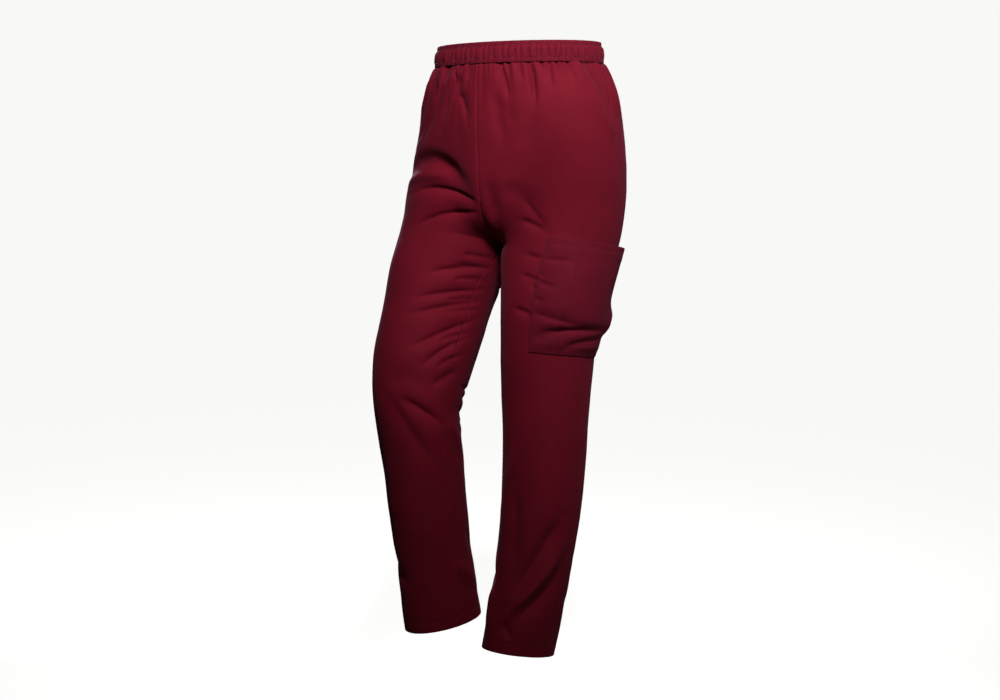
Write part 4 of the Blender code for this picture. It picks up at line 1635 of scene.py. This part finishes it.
@dataclass
class Trousers:
    """The whole garment: its panels, facings, pocket and waistband, and the sewing that joins them."""

    twill: TwillFinish = TwillFinish("burgundy_poly_cotton_twill")
    band_twill: TwillFinish = TwillFinish("burgundy_gathered_twill", shade="#740c24", deep="#660a1e")
    # The pocket's twill is a darker, bluer copy of the cloth's: painted shade for the pocket's face, which is
    # turned away from the key light.
    pocket_twill: TwillFinish = TwillFinish("burgundy_pocket_twill", shade="#6f0b24", deep="#63091f")
    # The facing's twill is a touch darker than the cloth's: painted shade for its place set back in the pocket
    # opening.
    facing_twill: TwillFinish = TwillFinish("burgundy_facing_twill", shade="#740b22", deep="#67091d")
    thread: ThreadFinish = ThreadFinish()
    pocket: CargoPocket = field(default_factory=CargoPocket)
    waistband: Waistband = field(default_factory=Waistband)
    panels: tuple[LegPanel, ...] = (
        LegPanel(Side.LEFT, Edge.FRONT, 968.0, (0.315, 1.010), 0.236),
        LegPanel(Side.LEFT, Edge.BACK, 968.0, (0.345, 1.010), 0.250),
        LegPanel(Side.RIGHT, Edge.FRONT, 952.0, (0.315, 1.010), 0.248),
        LegPanel(Side.RIGHT, Edge.BACK, 952.0, (0.345, 1.010), 0.250),
    )

    def build(self) -> None:
        """Builds and dresses every piece in order."""
        twill = self.twill.material()
        for panel in self.panels:
            panel.dress(twill)
        facing = self.facing_twill.material()
        for side in Side:
            HipFacing(side).dress(facing)
        self.pocket.dress(self.pocket_twill.material())
        self.waistband.dress(self.band_twill.material())
        self.sew().dress(self.thread.material())

    def sew(self) -> Sewing:
        """Lays every row of sewing that shows.

        Returns:
            The rows, ready to be built.
        """
        sewing = Sewing()
        for side in Side:
            self.sew_half(sewing, side)
        self.sew_pocket(sewing)
        for height in sewing.band_rows:
            sewing.lines.append(self.waistband.stitch_line(height, sewing.band_out))
        return sewing

    def sew_half(self, sewing: Sewing, side: Side) -> None:
        """The hem's row and the two rows along the hip pocket's slant, on one half.

        Args:
            sewing: The rows of sewing, which get more.
            side: Which half.
        """
        front = next(p for p in self.panels if p.side is side and p.edge is Edge.FRONT)
        cloth = CLOTHS[side]

        def on_panel(down: Array, t: Array, out: float) -> Array:
            """Places on the pressed front panel."""
            first = front.seam_t + front.opening_t(down)
            pressed = front.pressing(down, t, first) + front.gape(down, t, first)
            return cloth.place(down, t, pressed + out)

        down = np.linspace(1, front.pocket_down - 4, 90)
        for inset in sewing.hip_rows:
            t = front.opening_t(down) + inset / GIRTH_TABLE.at("unit", down)
            sewing.on_cloth(on_panel, down, t)

        def on_hem(down: Array, t: Array, out: float) -> Array:
            """Places in the hem's stitched groove."""
            groove = front.pressing(down, np.full_like(t, 0.5), np.zeros_like(down))
            return cloth.place(down, t, groove + out)

        around = np.linspace(-0.997, 0.997, 220)
        sewing.on_cloth(on_hem, np.full(220, front.hem_down - front.hem_height), around)

    def sew_pocket(self, sewing: Sewing) -> None:
        """The cargo pocket's hem rows, its three sewn edges and the row that parts off a narrow pocket.

        Args:
            sewing: The rows of sewing, which get more.
        """
        pocket, unit = self.pocket, GIRTH[2].unit
        front, rear = pocket.front_t - pocket.edge_row / unit, pocket.rear_t + pocket.edge_row / unit
        mouth, foot = pocket.mouth_down, pocket.foot_down - pocket.edge_row
        across = np.linspace(front, rear, 120)
        for row in pocket.hem_rows:
            sewing.on_cloth(pocket.place, np.full(120, mouth + row), across)
        fall = np.linspace(mouth + 1.5, foot, 120)
        for edge in (front, rear):
            sewing.on_cloth(pocket.place, fall, np.full(120, edge))
        sewing.on_cloth(pocket.place, np.full(120, foot), across)
        divider = np.linspace(mouth + pocket.hem_height, foot, 100)
        turn, reach = pocket.divider_turn
        sway = pocket.divider_t + pocket.divider_sway * smooth((divider - turn) / reach)
        sewing.on_cloth(pocket.place, divider, sway)


@dataclass(frozen=True)
class Softbox:
    """A rectangular light: its place from the camera's side of the trousers, its size, its beam and its aim."""

    name: str
    forward: float
    aside: float
    height: float
    size: tuple[float, float]
    watts: float
    spread: float
    aim: tuple[float, float]


@dataclass
class Studio:
    """A pale cove, soft light and a camera at the photograph's angle."""

    azimuth: float = 35.0
    elevation: float = 3.6
    distance: float = 4200.0
    target: tuple[float, float, float] = (0.0, 0.0, -492.0)
    aside: float = -31.7
    lens: float = 90.7
    sensor: float = 36.0
    floor_z: float = -1062.0
    floor_radius: float = 7.0
    cove_height: float = 4.5
    cove_sweep: float = 2.5
    cove_glow: float = 0.985
    surround: float = 0.035
    softboxes: tuple[Softbox, ...] = (
        Softbox("key_softbox", 1.50, 0.10, 0.90, (0.40, 0.40), 3.1, 48.0, (-0.02, -0.12)),
        Softbox("side_softbox", 0.5, 1.5, 0.35, (0.5, 0.7), 1.5, 80.0, (0.12, -0.12)),
        Softbox("back_softbox", -1.60, -0.35, 0.60, (0.50, 0.50), 2.4, 52.0, (0.0, -0.3)),
    )

    def axes(self) -> tuple[Vector, Vector, Vector]:
        """The camera's right, up and back directions.

        Returns:
            The three unit vectors.
        """
        a, e = math.radians(self.azimuth), math.radians(self.elevation)
        back = Vector((math.sin(a) * math.cos(e), -math.cos(a) * math.cos(e), math.sin(e)))
        right = Vector((math.cos(a), math.sin(a), 0))
        return right, back.cross(right), back

    def camera(self) -> bpy.types.Object:
        """Makes the scene's camera.

        Returns:
            The camera, which frames the trousers as the photograph does.
        """
        right, up, back = self.axes()
        data = bpy.data.cameras.new("camera")
        data.lens, data.sensor_width = self.lens, self.sensor
        camera = linked("camera", data)
        place = (Vector(self.target) + right * self.aside + back * self.distance) * MM
        camera.matrix_world = Matrix.Translation(place) @ Matrix((right, up, back)).transposed().to_4x4()
        bpy.context.scene.camera = camera
        return camera

    def cove(self) -> bpy.types.Object:
        """Makes the floor, which sweeps up into a wall all round.

        Returns:
            The cove.
        """
        bm = bmesh.new()
        floor, radius, sweep = self.floor_z * MM, self.floor_radius, self.cove_sweep
        turn = [math.radians(angle) for angle in range(0, 91, 6)]
        outline = [(0.0, floor)]
        outline += [(radius + sweep * math.sin(a), floor + sweep * (1 - math.cos(a))) for a in turn]
        outline.append((radius + sweep, floor + self.cove_height))
        verts = [bm.verts.new((x, 0, z)) for x, z in outline]
        edges = [bm.edges.new(pair) for pair in zip(verts, verts[1:])]
        bmesh.ops.spin(
            bm, geom=verts + edges, cent=(0, 0, 0), axis=(0, 0, 1), angle=2 * math.pi, steps=96, use_merge=True
        )
        bmesh.ops.remove_doubles(bm, verts=bm.verts[:], dist=1e-5)
        bmesh.ops.recalc_face_normals(bm, faces=bm.faces[:])
        cove = mesh_piece("studio_floor", bm)
        material, _, shader = new_material("matt_white_paint")
        set_sockets(shader, {"Base Color": linear("#f4f4f3"), "Roughness": 0.9, "Specular IOR Level": 0.1})
        set_sockets(shader, {"Emission Color": linear("#f6f6f5"), "Emission Strength": self.cove_glow})
        cove.data.materials.append(material)
        cove.visible_diffuse = False
        cove.visible_glossy = False
        return cove

    def softbox(self, box: Softbox) -> None:
        """Adds one softbox, placed by the camera's own directions.

        Args:
            box: The softbox.
        """
        right, _, back = self.axes()
        data = bpy.data.lights.new(box.name, "AREA")
        data.shape = "RECTANGLE"
        data.size, data.size_y = box.size
        data.energy = box.watts
        data.spread = math.radians(box.spread)
        light = linked(box.name, data)
        light.location = back * box.forward + right * box.aside + Vector((0, 0, box.height))
        aim = right * box.aim[0] + Vector((0, 0, box.aim[1])) - light.location
        light.rotation_euler = aim.to_track_quat("-Z", "Y").to_euler()

    def light(self) -> None:
        """Sets the softboxes and a dim even surround."""
        for box in self.softboxes:
            self.softbox(box)
        world = bpy.data.worlds.new("studio_world")
        world.use_nodes = True
        bpy.context.scene.world = world
        white = (1.0, 1.0, 1.0, 1.0)
        set_sockets(world.node_tree.nodes["Background"], {"Color": white, "Strength": self.surround})

    def build(self) -> None:
        """Builds the camera, the cove and the lights."""
        self.camera()
        self.cove()
        self.light()
        bpy.context.scene.view_settings.view_transform = "Standard"


def main() -> None:
    """Builds the studio and the trousers."""
    logging.basicConfig(level=logging.INFO, format="%(name)s: %(message)s")
    Studio().build()
    Trousers().build()


if __name__ == "__main__":
    main()
